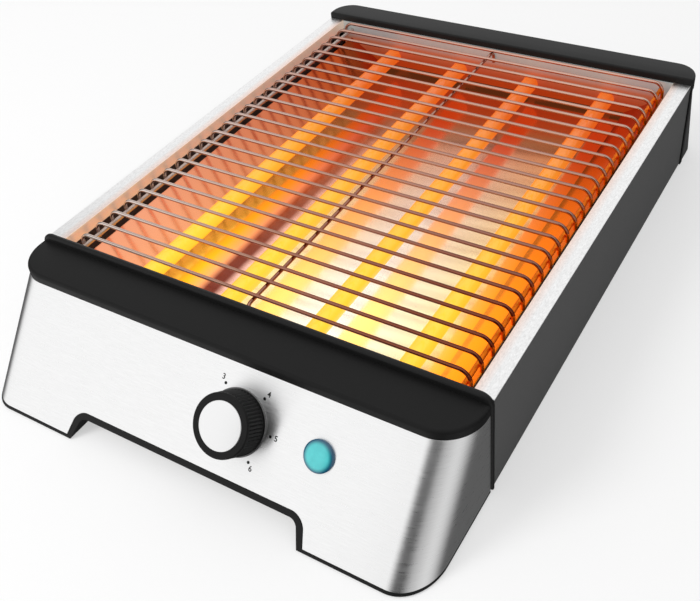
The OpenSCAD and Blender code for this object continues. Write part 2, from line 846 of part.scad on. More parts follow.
module heating_elements() {
    end = ceramic_l + bus_t + pin_over;
    color([1, 0.45, 0.1]) bay() for (x = TUBES) union() {
        rod(x, tube_z, element_d, element_inset, bay_l - element_inset);
        rod(x, tube_z, pin_d, -end, bay_l + end);
    }
}

// Ceramic cap on the end of each tube, in front of the bay
module tube_caps() {
    for (x = TUBES) difference() {
        rod(x, tube_z, ceramic_d, -ceramic_l, 0);
        rod(x, tube_z, tube_d + 2 * seat_fit, -tube_over - seat_fit, cut);
        rod(x, tube_z, pin_d + 2 * seat_fit, -ceramic_l - cut, cut);
    }
}

// Bar that joins the tubes' pins, in front of the bay
module bus_bar() {
    half = tube_x + bus_over;
    difference() {
        translate([-half, -ceramic_l - bus_t, tube_z - bus_h / 2]) cube([2 * half, bus_t, bus_h]);
        for (x = TUBES) rod(x, tube_z, pin_d + 2 * seat_fit, -ceramic_l - bus_t - cut, cut - ceramic_l);
    }
}

// The same pieces at the rear end of the bay
module at_rear() {
    translate([0, bay_l, 0]) mirror([0, 1, 0]) children();
}

module front_tube_caps() {
    color([0.93, 0.92, 0.88]) bay() tube_caps();
}

module rear_tube_caps() {
    color([0.93, 0.92, 0.88]) bay() at_rear() tube_caps();
}

module front_bus_bar() {
    color([0.75, 0.6, 0.3]) bay() bus_bar();
}

module rear_bus_bar() {
    color([0.75, 0.6, 0.3]) bay() at_rear() bus_bar();
}

// A wire's turned-down end in X and Z: a quarter bend and a leg
module wire_end(d, r, leg) {
    translate([0, 0, -r]) rotate([90, 0, 0]) union() {
        rotate_extrude(angle = 90) translate([r, 0]) circle(d = d);
        translate([r, 0, 0]) rotate([-90, 0, 180]) cylinder(d = d, h = leg);
    }
}

// Places of the cross wires along the bay
module at_cross_wires() {
    for (i = [0:wire_count - 1])
        translate([0, wire_front + i * wire_pitch, wire_z]) children();
}

// Turned-down ends of the cross wires on the right
module cross_wire_ends() {
    at_cross_wires() translate([wire_x, 0, 0]) wire_end(wire_d, wire_bend_r, wire_leg);
}

module rack_cross_wires() {
    color([0.86, 0.85, 0.84]) bay() at_cross_wires()
        rotate([0, 90, 0]) cylinder(d = wire_d, h = 2 * wire_x, center = true);
}

module rack_left_ends() {
    color([0.86, 0.85, 0.84]) bay() mirror([1, 0, 0]) cross_wire_ends();
}

module rack_right_ends() {
    color([0.86, 0.85, 0.84]) bay() cross_wire_ends();
}

module rack_side_wires() {
    color([0.86, 0.85, 0.84]) bay() both_sides()
        rod(side_wire_x, side_wire_z, side_wire_d, weld_gap, bay_l - weld_gap);
}

module rack_centre_wire() {
    color([0.86, 0.85, 0.84]) bay() rod(0, centre_wire_z, centre_wire_d, centre_front, centre_rear);
}

module rack_centre_ends() {
    color([0.86, 0.85, 0.84]) bay() for (end = [[centre_front, -90], [centre_rear, 90]])
        translate([0, end[0], centre_wire_z]) rotate([0, 0, end[1]])
            wire_end(centre_wire_d, centre_bend_r, centre_leg);
}

module timer_knob() {
    flat = shaft_d / 2 - shaft_flat;
    color([0.08, 0.08, 0.08]) bay() on_panel(knob_x, knob_s) rotate([0, 0, pointer_turn]) difference() {
        translate([0, 0, knob_base]) cylinder(d1 = knob_d, d2 = knob_front_d, h = knob_h - knob_base);
        translate([0, 0, knob_base - cut]) difference() {
            cylinder(d = knob_front_d - 2 * knob_wall, h = knob_hollow + cut);
            translate([0, 0, hub_base - knob_base + cut]) cylinder(d = hub_d, h = knob_hollow + cut);
        }
        difference() {
            cylinder(d = shaft_d + 2 * shaft_gap, h = shaft_top + shaft_gap);
            translate([flat + shaft_gap, -shaft_d, 0]) cube([shaft_d, 2 * shaft_d, knob_h]);
        }
        translate([0, 0, knob_h - disc_seat]) cylinder(d = disc_d + 2 * disc_gap, h = disc_seat + cut);
        translate([0, -pointer_w / 2, knob_h - pointer_depth]) cube([knob_d, pointer_w, pointer_depth + cut]);
    }
}

module knob_disc() {
    color([0.88, 0.88, 0.88]) bay() on_panel(knob_x, knob_s)
        translate([0, 0, knob_h - disc_seat]) cylinder(d = disc_d, h = disc_t);
}

module knob_ring() {
    color([0.8, 0.8, 0.8]) bay() on_panel(knob_x, knob_s) difference() {
        cylinder(d = ring_d, h = ring_h);
        translate([0, 0, -cut]) cylinder(d = ring_d - 2 * ring_w, h = ring_h + 2 * cut);
    }
}

module timer_shaft() {
    flat = shaft_d / 2 - shaft_flat;
    color([0.7, 0.7, 0.7]) bay() on_panel(knob_x, knob_s) rotate([0, 0, pointer_turn]) difference() {
        translate([0, 0, -wall_in - shaft_in]) cylinder(d = shaft_d, h = wall_in + shaft_in + shaft_top);
        translate([flat, -shaft_d, bush_top]) cube([shaft_d, 2 * shaft_d, knob_h]);
    }
}

module timer_body() {
    color([0.85, 0.83, 0.75]) bay() on_panel(knob_x, knob_s) difference() {
        union() {
            translate([-timer_w / 2, -timer_w / 2, -wall_in - timer_l]) cube([timer_w, timer_w, timer_l]);
            translate([0, 0, -wall_in - cut]) cylinder(d = bush_d, h = wall_in + cut + bush_top);
        }
        translate([0, 0, -wall_in - shaft_in - shaft_gap])
            cylinder(d = shaft_d + 2 * shaft_gap, h = far);
    }
}

module timer_nut() {
    color([0.75, 0.75, 0.75]) bay() on_panel(knob_x, knob_s) difference() {
        cylinder(d = nut_d, h = nut_h, $fn = 6);
        translate([0, 0, -cut]) cylinder(d = bush_d + 2 * seat_fit, h = nut_h + 2 * cut);
    }
}

module pilot_lens() {
    color([0.25, 0.75, 0.78]) bay() on_panel(lens_x, lens_s) union() {
        intersection() {
            cylinder(d = lens_d, h = lens_rim + lens_dome);
            translate([0, 0, lens_rim + lens_dome - dome_r]) sphere(r = dome_r);
        }
        translate([0, 0, -stem_l]) cylinder(d = stem_d, h = stem_l);
    }
}

module pilot_clip() {
    color([0.9, 0.9, 0.88]) bay() on_panel(lens_x, lens_s) translate([0, 0, -wall_in - clip_t]) difference() {
        cylinder(d = clip_d, h = clip_t);
        translate([0, 0, -cut]) cylinder(d = stem_d + 2 * seat_fit, h = clip_t + 2 * cut);
    }
}

module pilot_lamp() {
    color([0.95, 0.6, 0.3]) bay() on_panel(lens_x, lens_s)
        translate([0, 0, -stem_l - lamp_l]) cylinder(d = lamp_d, h = lamp_l);
}

// Quarter bend of the lead in plan, from a run along X to a run along Y
module lead_corner() {
    translate([-lead_bend, lead_bend, 0]) rotate([0, 0, -90]) rotate_extrude(angle = 90)
        translate([lead_bend, 0]) circle(d = lead_d);
}

module inner_lead() {
    front_end = knob_x + timer_w / 2;
    rear_end = block_x + block_w / 2;
    rear_y = bay_l + lead_rear;
    color([0.85, 0.85, 0.82]) bay() union() {
        translate([front_end, -lead_front, lead_z]) rotate([0, 90, 0])
            cylinder(d = lead_d, h = lead_x - lead_bend - front_end);
        translate([lead_x, -lead_front, lead_z]) lead_corner();
        rod(lead_x, lead_z, lead_d, lead_bend - lead_front, rear_y - lead_bend);
        translate([lead_x, rear_y, lead_z]) mirror([0, 1, 0]) lead_corner();
        translate([rear_end, rear_y, lead_z]) rotate([0, 90, 0])
            cylinder(d = lead_d, h = lead_x - lead_bend - rear_end);
    }
}

module terminal_block() {
    color([0.9, 0.9, 0.86]) bay()
        translate([block_x - block_w / 2, bay_l + collar_t, lead_z - block_h / 2])
            cube([block_w, block_l, block_h]);
}

module thermal_cutout() {
    color([0.7, 0.7, 0.68]) bay() rod(cutout_x, lead_z, cutout_d, -collar_t - cutout_h, -collar_t);
}

module cord_gland() {
    color([0.07, 0.07, 0.07]) bay() on_rear(gland_x, gland_s) difference() {
        union() {
            cylinder(d = gland_flange_d, h = gland_flange_t);
            translate([0, 0, -gland_l]) cylinder(d = gland_d, h = gland_l + gland_flange_t / 2);
        }
        translate([0, 0, -gland_l - cut]) cylinder(d = gland_bore, h = gland_l + gland_flange_t + 2 * cut);
    }
}

module foot_pads() {
    color([0.05, 0.05, 0.05]) bay() both_sides() for (y = [-foot_front, bay_l + foot_rear])
        translate([foot_x, y, 0]) cylinder(d = pad_d, h = pad_h);
}

// Screw with its head's underside at the origin, pointing up
module screw(reach) {
    translate([0, 0, -head_h]) cylinder(d = head_d, h = head_h);
    translate([0, 0, -head_h / 2]) cylinder(d = screw_d, h = reach + head_h / 2);
}

module collar_screws() {
    reach = collar_t + screw_bite;
    color([0.75, 0.75, 0.75]) bay() {
        at_collar_screws() rotate([90, 0, 0]) screw(reach);
        at_rear() at_collar_screws() rotate([90, 0, 0]) screw(reach);
    }
}

module base_screws() {
    color([0.75, 0.75, 0.75]) bay() both_sides() at_base_screws() screw(sheet_t + base_t + base_screw_over);
}

front_panel();
front_housing();
front_cap();
front_collar();
rear_housing();
rear_cap();
rear_collar();
left_side_panel();
right_side_panel();
left_rail();
right_rail();
base_plate();
front_end_plate();
rear_end_plate();
left_reflector();
right_reflector();
left_tray_runner();
right_tray_runner();
crumb_tray();
tray_pull();
quartz_tubes();
heating_elements();
front_tube_caps();
rear_tube_caps();
front_bus_bar();
rear_bus_bar();
rack_cross_wires();
rack_left_ends();
rack_right_ends();
rack_side_wires();
rack_centre_wire();
rack_centre_ends();
timer_knob();
knob_disc();
knob_ring();
timer_shaft();
timer_body();
timer_nut();
pilot_lens();
pilot_clip();
pilot_lamp();
inner_lead();
terminal_block();
thermal_cutout();
cord_gland();
foot_pads();
collar_screws();
base_screws();
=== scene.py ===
# %% [markdown]
# # Dressing a flat toaster
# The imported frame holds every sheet, tube and wire of the toaster at its real size, in metres: X runs to
# the right, Y to the rear and Z up from the table. This lesson gives the frame its finish. Each step says
# what a piece is on the real toaster, how it could be made in Blender, and why this way was chosen.

# %% Load the frame
import json
import math

import bmesh
import bpy
from mathutils import Color, Matrix, Vector


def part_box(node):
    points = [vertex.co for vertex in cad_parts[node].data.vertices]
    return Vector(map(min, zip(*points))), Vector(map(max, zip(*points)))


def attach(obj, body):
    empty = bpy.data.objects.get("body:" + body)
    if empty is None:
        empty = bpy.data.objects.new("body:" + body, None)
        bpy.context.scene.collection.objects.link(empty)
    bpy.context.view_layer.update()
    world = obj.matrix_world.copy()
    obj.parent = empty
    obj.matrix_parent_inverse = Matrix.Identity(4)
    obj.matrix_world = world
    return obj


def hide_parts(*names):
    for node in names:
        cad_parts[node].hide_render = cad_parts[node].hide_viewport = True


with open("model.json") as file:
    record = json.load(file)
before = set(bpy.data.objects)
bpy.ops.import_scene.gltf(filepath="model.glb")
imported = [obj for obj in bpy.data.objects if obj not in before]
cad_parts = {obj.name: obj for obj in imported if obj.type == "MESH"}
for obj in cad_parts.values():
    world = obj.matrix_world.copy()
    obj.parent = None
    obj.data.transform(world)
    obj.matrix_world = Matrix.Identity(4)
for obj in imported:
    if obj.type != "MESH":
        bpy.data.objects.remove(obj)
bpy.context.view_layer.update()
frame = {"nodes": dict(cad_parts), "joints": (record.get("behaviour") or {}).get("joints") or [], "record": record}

MM = 0.001
JOINTS = {joint["name"]: joint for joint in frame["joints"]}

# %% [markdown]
# ## Camera
# The photograph looks down on the toaster from its front right, through a normal lens that is shifted a
# little. The view was solved from straight edges of known size, so it is written here as a place, three
# angles and a focal length in the photograph's own pixels. A track-to constraint would be shorter, but it
# can't roll.

# %% Camera
PHOTO_SIZE = (700, 601)
PHOTO_FOCAL = 928.8
PHOTO_CENTRE = (378.7, 258.9)
SENSOR_WIDTH = 36
NEAR_CLIP = 10 * MM
CAMERA_PLACE = Vector((236.5, -356.2, 348.85)) * MM
CAMERA_YAW = math.radians(33.885)
CAMERA_PITCH = math.radians(39.485)
CAMERA_ROLL = math.radians(-5.639)

scene = bpy.context.scene
scene.view_settings.view_transform = "Standard"
photo_lens = bpy.data.cameras.new("photo_view")
photo_lens.sensor_width = SENSOR_WIDTH
photo_lens.lens = PHOTO_FOCAL / PHOTO_SIZE[0] * SENSOR_WIDTH
photo_lens.shift_x = (PHOTO_SIZE[0] / 2 - PHOTO_CENTRE[0]) / PHOTO_SIZE[0]
photo_lens.shift_y = (PHOTO_CENTRE[1] - PHOTO_SIZE[1] / 2) / PHOTO_SIZE[0]
photo_lens.clip_start = NEAR_CLIP
camera = bpy.data.objects.new("photo_view", photo_lens)
camera.matrix_world = (
    Matrix.Translation(CAMERA_PLACE)
    @ Matrix.Rotation(CAMERA_YAW, 4, "Z")
    @ Matrix.Rotation(math.pi / 2 - CAMERA_PITCH, 4, "X")
    @ Matrix.Rotation(CAMERA_ROLL, 4, "Z")
)
scene.collection.objects.link(camera)
scene.camera = camera
print("lens in mm:", round(photo_lens.lens, 2))

# %% [markdown]
# ## Node helpers
# A finish is a tree of nodes. Each node could be added, set and linked on lines of its own, but then a
# simple mix takes six lines. Here one helper adds a node and feeds its inputs, with plain values or with
# links, so the lines below read like the finish they make.

# %% Node helpers
def feed(tree, node, inputs):
    """Gives each named input of a node a value, or a link from another node's socket."""
    for label, source in inputs.items():
        if isinstance(source, bpy.types.NodeSocket):
            tree.links.new(source, node.inputs[label])
        else:
            node.inputs[label].default_value = source


def add_node(tree, kind, inputs=None, **settings):
    """Adds a shader node with its settings, and feeds its inputs."""
    node = tree.nodes.new(f"ShaderNode{kind}")
    for name, setting in settings.items():
        setattr(node, name, setting)
    feed(tree, node, inputs or {})
    return node


def maths(tree, operation, *values):
    """The result of one sum on numbers or sockets."""
    return add_node(tree, "Math", dict(enumerate(values)), operation=operation).outputs[0]


def mixed(tree, share, first, second):
    """A colour between two others."""
    mix = add_node(tree, "Mix", {"Factor": share, "A": first, "B": second}, data_type="RGBA")
    return mix.outputs["Result"]


print("helpers:", feed.__name__, add_node.__name__, maths.__name__, mixed.__name__)

# %% [markdown]
# ## Shared effects
# Brushed sheet, moulded plastic and handled metal turn up in many finishes, so each effect is a node group
# with named sockets, built once. The groups read Object coordinates, because every piece keeps its place in
# its mesh, and they put out only values that change over the surface.

# %% Group helpers
VALUE, VECTOR, COLOUR = "NodeSocketFloat", "NodeSocketVector", "NodeSocketColor"
NOISE_LOW, NOISE_HIGH = 0.3, 0.7


def new_group(name, inputs, outputs):
    """A group with (name, socket type, value) inputs and (name, socket type) outputs."""
    group = bpy.data.node_groups.new(name, "ShaderNodeTree")
    for label, kind, value in inputs:
        socket = group.interface.new_socket(name=label, in_out="INPUT", socket_type=kind)
        socket.default_value = value
    for label, kind in outputs:
        group.interface.new_socket(name=label, in_out="OUTPUT", socket_type=kind)
    return group, group.nodes.new("NodeGroupInput").outputs, group.nodes.new("NodeGroupOutput")


def scaled_noise(tree, scale, detail, roughness):
    """Noise on Object coordinates that a vector stretches."""
    place = add_node(tree, "TexCoord").outputs["Object"]
    stretched = add_node(tree, "VectorMath", {0: place, 1: scale}, operation="MULTIPLY")
    noise = add_node(tree, "TexNoise", {
        "Vector": stretched.outputs["Vector"], "Scale": 1, "Detail": detail, "Roughness": roughness})
    return noise.outputs["Fac"]


def spread(tree, value, low, high):
    """Maps a noise value's middle range to two values."""
    spread_out = add_node(tree, "MapRange", {
        "Value": value, "From Min": NOISE_LOW, "From Max": NOISE_HIGH, "To Min": low, "To Max": high})
    return spread_out.outputs["Result"]


print("noise is read from", NOISE_LOW, "to", NOISE_HIGH)

# %% Grain and handling
grain_group, grain_in, grain_out = new_group(
    "surface_grain",
    [("Stretch", VECTOR, (100, 100, 100)), ("Dark", COLOUR, (0.7, 0.7, 0.7, 1)),
     ("Light", COLOUR, (0.8, 0.8, 0.8, 1)), ("Rough Low", VALUE, 0.2), ("Rough High", VALUE, 0.3)],
    [("Colour", COLOUR), ("Roughness", VALUE), ("Height", VALUE)],
)
grain = scaled_noise(grain_group, grain_in["Stretch"], detail=4, roughness=0.65)
feed(grain_group, grain_out, {
    "Colour": mixed(grain_group, spread(grain_group, grain, 0, 1), grain_in["Dark"], grain_in["Light"]),
    "Roughness": spread(grain_group, grain, grain_in["Rough Low"], grain_in["Rough High"]),
    "Height": grain,
})

smudge_group, smudge_in, smudge_out = new_group(
    "handling_marks",
    [("Roughness", VALUE, 0.3), ("Scale", VECTOR, (18, 18, 18)), ("Amount", VALUE, 0.05)],
    [("Roughness", VALUE)],
)
smudge = scaled_noise(smudge_group, smudge_in["Scale"], detail=3, roughness=0.55)
centred = maths(smudge_group, "SUBTRACT", smudge, 0.5)
marked = maths(smudge_group, "MULTIPLY_ADD", centred, smudge_in["Amount"], smudge_in["Roughness"])
feed(smudge_group, smudge_out, {"Roughness": marked})
print("groups:", grain_group.name, smudge_group.name)

# %% [markdown]
# ## Finishes
# A grained finish is the same recipe with other numbers: the grain group gives colour, roughness and a
# small bump, and the handling group adds the slow changes of gloss that touched surfaces have. A brushed
# sheet stretches its grain along the brush, and a moulded one keeps it round and fine.

# %% A grained finish
PLAIN_SMEAR = 0.06
PLAIN_SPECULAR = 0.5


def new_finish(name):
    """A material, its node tree and its Principled shader."""
    finish = bpy.data.materials.new(name)
    finish.use_nodes = True
    return finish, finish.node_tree, finish.node_tree.nodes["Principled BSDF"]


def grained(name, dark, light, stretch, rough, metallic, bump,
            smear=PLAIN_SMEAR, specular=PLAIN_SPECULAR):
    """A finish of grain between two colours, with roughness between two values."""
    finish, tree, shader = new_finish(name)
    grain = add_node(tree, "Group", {
        "Stretch": stretch, "Dark": (*dark, 1), "Light": (*light, 1),
        "Rough Low": rough[0], "Rough High": rough[1]}, node_tree=grain_group).outputs
    marks = add_node(tree, "Group", {
        "Roughness": grain["Roughness"], "Amount": smear}, node_tree=smudge_group)
    relief = add_node(tree, "Bump", {
        "Height": grain["Height"], "Strength": bump[0], "Distance": bump[1] * MM})
    feed(tree, shader, {
        "Base Color": grain["Colour"], "Roughness": marks.outputs["Roughness"],
        "Normal": relief.outputs["Normal"], "Metallic": metallic, "Specular IOR Level": specular})
    return finish


def grey(value):
    """One grey as three channels."""
    return (value, value, value)


print("bright rail grey:", grey(1.0))

# %% [markdown]
# Each row of the table is one finish: its dark and light colour, how far the grain is stretched, the range
# of its roughness, whether it is metal, and the strength of its bump with the depth in millimetres. Dark
# mouldings and paint would look too pale at the plain specular level, so they have a lower one. The chrome
# ring's dark grey is painted shade, for the dark that the ring reflects beside the knob. The steels of the bay
# and the wires have the colours of new metal here, and their tint, heat tint with painted glow and painted
# reflections, covers those further on.

# %% Table of grained finishes
FINE = (3200, 3200, 3200)
POLISHED = ((0.8, 0.77, 0.72), (0.9, 0.88, 0.84), (60, 500, 60), (0.1, 0.18), 1, (0.06, 0.05))
GRAINED = {
    "rail_steel": (grey(0.76), grey(1.0), (1600, 600, 1600), (0.28, 0.42), 1, (0.2, 0.05)),
    "bay_steel": ((0.62, 0.6, 0.58), (0.78, 0.76, 0.74), (90, 900, 900), (0.45, 0.56), 1, (0.15, 0.04)),
    "zinc_sheet": ((0.5, 0.51, 0.52), (0.66, 0.67, 0.68), (240, 240, 240), (0.32, 0.5), 1, (0.1, 0.04)),
    "black_plastic": (grey(0.008), grey(0.013), FINE, (0.38, 0.5), 0, (0.25, 0.02)),
    "black_cap": (grey(0.007), grey(0.011), FINE, (0.42, 0.54), 0, (0.25, 0.02)),
    "grey_cap": (grey(0.011), grey(0.016), FINE, (0.42, 0.54), 0, (0.25, 0.02)),
    "grey_paint": (grey(0.1), grey(0.115), (1500, 1500, 1500), (0.42, 0.52), 0, (0.3, 0.03)),
    "grey_housing": (grey(0.06), grey(0.075), FINE, (0.42, 0.52), 0, (0.25, 0.02)),
    "knob_black": (grey(0.004), grey(0.007), FINE, (0.36, 0.48), 0, (0.2, 0.02)),
    "foot_rubber": (grey(0.01), grey(0.02), (900, 900, 900), (0.7, 0.85), 0, (0.4, 0.05)),
    "ceramic": ((0.82, 0.79, 0.72), (0.9, 0.88, 0.83), (700, 700, 700), (0.6, 0.75), 0, (0.3, 0.05)),
    "bus_brass": ((0.6, 0.43, 0.18), (0.78, 0.6, 0.3), (60, 500, 500), (0.28, 0.4), 1, (0.1, 0.03)),
    "timer_case": ((0.7, 0.68, 0.6), (0.8, 0.78, 0.7), (900, 900, 900), (0.45, 0.55), 0, (0.2, 0.03)),
    "lead_sleeve": ((0.66, 0.65, 0.6), (0.82, 0.81, 0.77), (1800, 1800, 1800), (0.7, 0.8), 0, (0.5, 0.1)),
    # Painted shade: the chrome ring is dark grey for the dark it reflects beside the knob.
    "chrome_ring": (grey(0.14), grey(0.2), (400, 400, 400), (0.25, 0.35), 1, (0.05, 0.02)),
    "chrome_wire": ((0.6, 0.56, 0.52), (0.84, 0.82, 0.8), (120, 120, 120), (0.1, 0.2), 1, (0.05, 0.02)),
    "tray_steel": POLISHED,
    "polished_steel": POLISHED,
}
LOW_SPECULAR = {"black_plastic": 0.18, "black_cap": 0.15, "grey_cap": 0.18, "grey_paint": 0.3,
                "grey_housing": 0.25, "knob_black": 0.2}
finishes = {name: grained(name, *recipe, specular=LOW_SPECULAR.get(name, PLAIN_SPECULAR))
            for name, recipe in GRAINED.items()}
print("grained finishes:", len(finishes))

# %% [markdown]
# ## Brushed front
# The front sheet is brushed along its length, and the brush lines follow the bend round both corners. Such
# a sheet spreads reflections across its lines and keeps them sharp along them, which is anisotropy. Its
# direction comes from a UV map whose first axis runs along the lines, so the bands of light stay upright at
# the corners.

# %% Brushed front finish
BRUSH_MAP = "brush_lines"

finishes["brushed_steel"] = grained(
    "brushed_steel", grey(0.9), grey(1.0), (130, 130, 2600), (0.26, 0.36), 1, (0.12, 0.03), smear=0.03)
brushed_tree = finishes["brushed_steel"].node_tree
brush_lines = add_node(brushed_tree, "Tangent", direction_type="UV_MAP", uv_map=BRUSH_MAP)
feed(brushed_tree, brushed_tree.nodes["Principled BSDF"], {
    "Anisotropic": 0.85, "Anisotropic Rotation": 0.25, "Tangent": brush_lines.outputs["Tangent"]})
print("the brush follows the UV map", brush_lines.uv_map)

# %% [markdown]
# ## Heat tint and painted glow
# Steel that has been hot for years is straw, salmon and brown. The heaters' light is painted on top of that:
# painted light and painted reflections of the heaters in bright and dark bands. A colour ramp over one axis of
# the frame draws such a change, and a fade over Y leads to another, mostly redder colour towards the rear.
# Both are groups: the tray and the reflectors share one ramp, and they share the fade with the wires and the
# tubes, each with a rear colour of its own. A painted image could do the same, but it would have to be
# unwrapped and stored for every piece.

# %% Tint helpers
def linear(code):
    """A colour code as linear channels."""
    channels = [(code >> shift & 255) / 255 for shift in (16, 8, 0)]
    return (*Color(channels).from_srgb_to_scene_linear(), 1)


def along_axis(tree, axis, start, end, both_sides=False):
    """A value from 0 to 1 between two places on an axis in mm, or out from its middle to both sides."""
    place = add_node(tree, "TexCoord").outputs["Object"]
    value = add_node(tree, "SeparateXYZ", {"Vector": place}).outputs[axis]
    if both_sides:
        value = maths(tree, "ABSOLUTE", value)
    share = add_node(tree, "MapRange", {"Value": value, "From Min": start * MM, "From Max": end * MM})
    return share.outputs["Result"]


def ramp_of(tree, value, stops, interpolation="LINEAR"):
    """A colour for a value, from stops of (position from 0 to 1, colour)."""
    ramp = add_node(tree, "ValToRGB", {"Fac": value})
    ramp.color_ramp.interpolation = interpolation
    elements = ramp.color_ramp.elements
    while len(elements) < len(stops):
        elements.new(0.5)
    for element, (position, colour) in zip(elements, stops):
        element.position = position
        element.color = colour
    return ramp.outputs["Color"]


def tint_along(tree, axis, stops, both_sides=False):
    """A colour from stops of (place in mm, colour code) along an axis."""
    first, last = stops[0][0], stops[-1][0]
    shares = [((place - first) / (last - first), linear(code)) for place, code in stops]
    return ramp_of(tree, along_axis(tree, axis, first, last, both_sides), shares)


print("straw in linear channels:", [round(c, 2) for c in linear(0xFFC83C)])

# %% Tint groups
FADE_START, FADE_END = -70, 110


def tint_group(name, axis, stops):
    """A group that puts out a colour from stops along an axis."""
    group, _, group_out = new_group(name, [], [("Colour", COLOUR)])
    feed(group, group_out, {"Colour": tint_along(group, axis, stops)})
    return group


rear_group, rear_in, rear_out = new_group(
    "redder_to_the_rear", [("Colour", COLOUR, (1, 1, 1, 1)), ("Rear", COLOUR, linear(0xB8401A))],
    [("Colour", COLOUR)])
rear_share = along_axis(rear_group, "Y", FADE_START, FADE_END)
feed(rear_group, rear_out, {"Colour": mixed(rear_group, rear_share, rear_in["Colour"], rear_in["Rear"])})


def tint_of(tree, group):
    """Places a tint group and gives its colour."""
    return add_node(tree, "Group", node_tree=group).outputs["Colour"]


def faded(tree, colour, rear):
    """A colour that runs over to another one towards the rear."""
    fade = add_node(tree, "Group", {"Colour": colour, "Rear": linear(rear)}, node_tree=rear_group)
    return fade.outputs["Colour"]


print("the fade runs over Y from", FADE_START, "to", FADE_END, "mm")

# %% [markdown]
# The tray, the reflectors and the end plates take their base colour from a tint, and a little of it as
# emission: painted glow, for the heaters' light on them, over the painted reflections in the tint. The tray
# can be pulled out to the rear, so its painted glow is weaker there: what comes out of the slot is tinted
# steel. The wires are tinted without a glow, and their tint is painted reflection and shade.

# %% Heat tints
def tinted(name, group, glow=0, rear=None, glow_rear=None):
    """Gives a finish the colours of a tint group, and lets them glow a little as painted light."""
    tree = finishes[name].node_tree
    plain = tint_of(tree, group)
    colour = faded(tree, plain, rear) if rear else plain
    light = faded(tree, plain, glow_rear) if glow_rear else colour
    shader = tree.nodes["Principled BSDF"]
    feed(tree, shader, {"Base Color": colour})
    if glow:
        feed(tree, shader, {"Emission Color": light, "Emission Strength": glow})


# Painted reflections of the heaters: the bright white and yellow bands, and the dark band near -50 mm.
tray_tint_and_glow = tint_group("tray_tint_and_glow", "X", [
    (-115, 0xD48C6C), (-92, 0xE0966A), (-80, 0xF5A838), (-66, 0xFFC83C), (-58, 0xF3BEAA), (-53, 0x7A3626),
    (-47, 0x7A3626), (-43, 0xF3BEAA), (-34, 0xFFE090), (20, 0xFFFDF0), (70, 0xFFEFB4), (90, 0xFFB43C),
    (115, 0xFF820F)])
# Painted reflection and shade: pale at the left, dark brown at the right, where the wires reflect the dark bay.
wire_tint_and_reflection = tint_group("wire_tint_and_reflection", "X", [
    (-114, 0xDACCC4), (-60, 0xC09C8A), (0, 0x8A5240), (70, 0x5A2012), (114, 0x48160C)])
# Painted light: orange glow low down on the end plates, pale grey higher up where the dome lights them.
end_plate_glow = tint_group("end_plate_glow", "Z", [(36, 0xB44A1C), (46, 0xC07858), (51, 0xAEB6B6), (57, 0xBCC6C6)])
tinted("polished_steel", tray_tint_and_glow, glow=0.4, rear=0xB04A1C, glow_rear=0x6A2410)
tinted("tray_steel", tray_tint_and_glow, glow=0.35, rear=0xC8703C, glow_rear=0x8A4420)
tinted("chrome_wire", wire_tint_and_reflection, rear=0xB08070)
tinted("bay_steel", end_plate_glow, glow=0.42)
print("tints:", tray_tint_and_glow.name, wire_tint_and_reflection.name, end_plate_glow.name)

# %% [markdown]
# A plated wire is darkest along both edges and light along its middle, which faces the eye: both are
# painted into its colour, a painted reflection with a painted highlight along the middle, lighter towards the
# rear. Low down at the right, where the wires stand close to the reflector, a painted reflection of its orange
# covers them, softly. Two mixes of colour and one of roughness draw that.

# %% Wire tones
WIRE_FACING = 0.86
LOW_WIRE_TOP, LOW_WIRE_FULL = 55.4, 54.4
LOW_WIRE_ROUGH = 0.55


def source_of(shader, label):
    """The socket that feeds one of a shader's inputs."""
    return shader.inputs[label].links[0].from_socket


wire_tree = finishes["chrome_wire"].node_tree
wire_shader = wire_tree.nodes["Principled BSDF"]
# Painted highlight along the middle of each wire, and a painted reflection of the orange reflector low down.
highlight_tint = tint_group("wire_highlight_tint", "X", [
    (-114, 0xF4ECE8), (-60, 0xDCBAAA), (0, 0xBC8A76), (70, 0x965A46), (114, 0x8A4C38)])
reflected_orange = tint_group("low_wire_reflection", "X", [
    (-114, 0xCFC2BC), (0, 0xC08468), (80, 0xFF9830), (114, 0xFF8A1E)])
facing = add_node(wire_tree, "LayerWeight", {"Blend": WIRE_FACING}).outputs["Facing"]
wire_highlight = faded(wire_tree, tint_of(wire_tree, highlight_tint), 0xE0BAAA)
wire_tone = mixed(wire_tree, facing, wire_highlight, source_of(wire_shader, "Base Color"))
low_down = along_axis(wire_tree, "Z", LOW_WIRE_TOP, LOW_WIRE_FULL)
wire_colour = mixed(wire_tree, low_down, wire_tone, tint_of(wire_tree, reflected_orange))
wire_rough = add_node(wire_tree, "Mix", {
    "Factor": low_down, "A": source_of(wire_shader, "Roughness"), "B": LOW_WIRE_ROUGH})
feed(wire_tree, wire_shader, {"Base Color": wire_colour, "Roughness": wire_rough.outputs["Result"]})
print("wire tones:", highlight_tint.name, reflected_orange.name)

# %% [markdown]
# The rails are bright on top, but the skirts that hang from their inner edges look into the bay and take on
# its salmon glow, and a little of it reaches the inner edge of each rail. That glow is painted light: ramps
# over the distance from the middle tint the colour and add emission, so one finish serves both sides.

# %% Glowing skirts
SKIRT_X, RAIL_X, CLEAR_X = 119, 119.4, 124
SKIRT_GLOW = 0.45

rail_tree = finishes["rail_steel"].node_tree
rail_shader = rail_tree.nodes["Principled BSDF"]
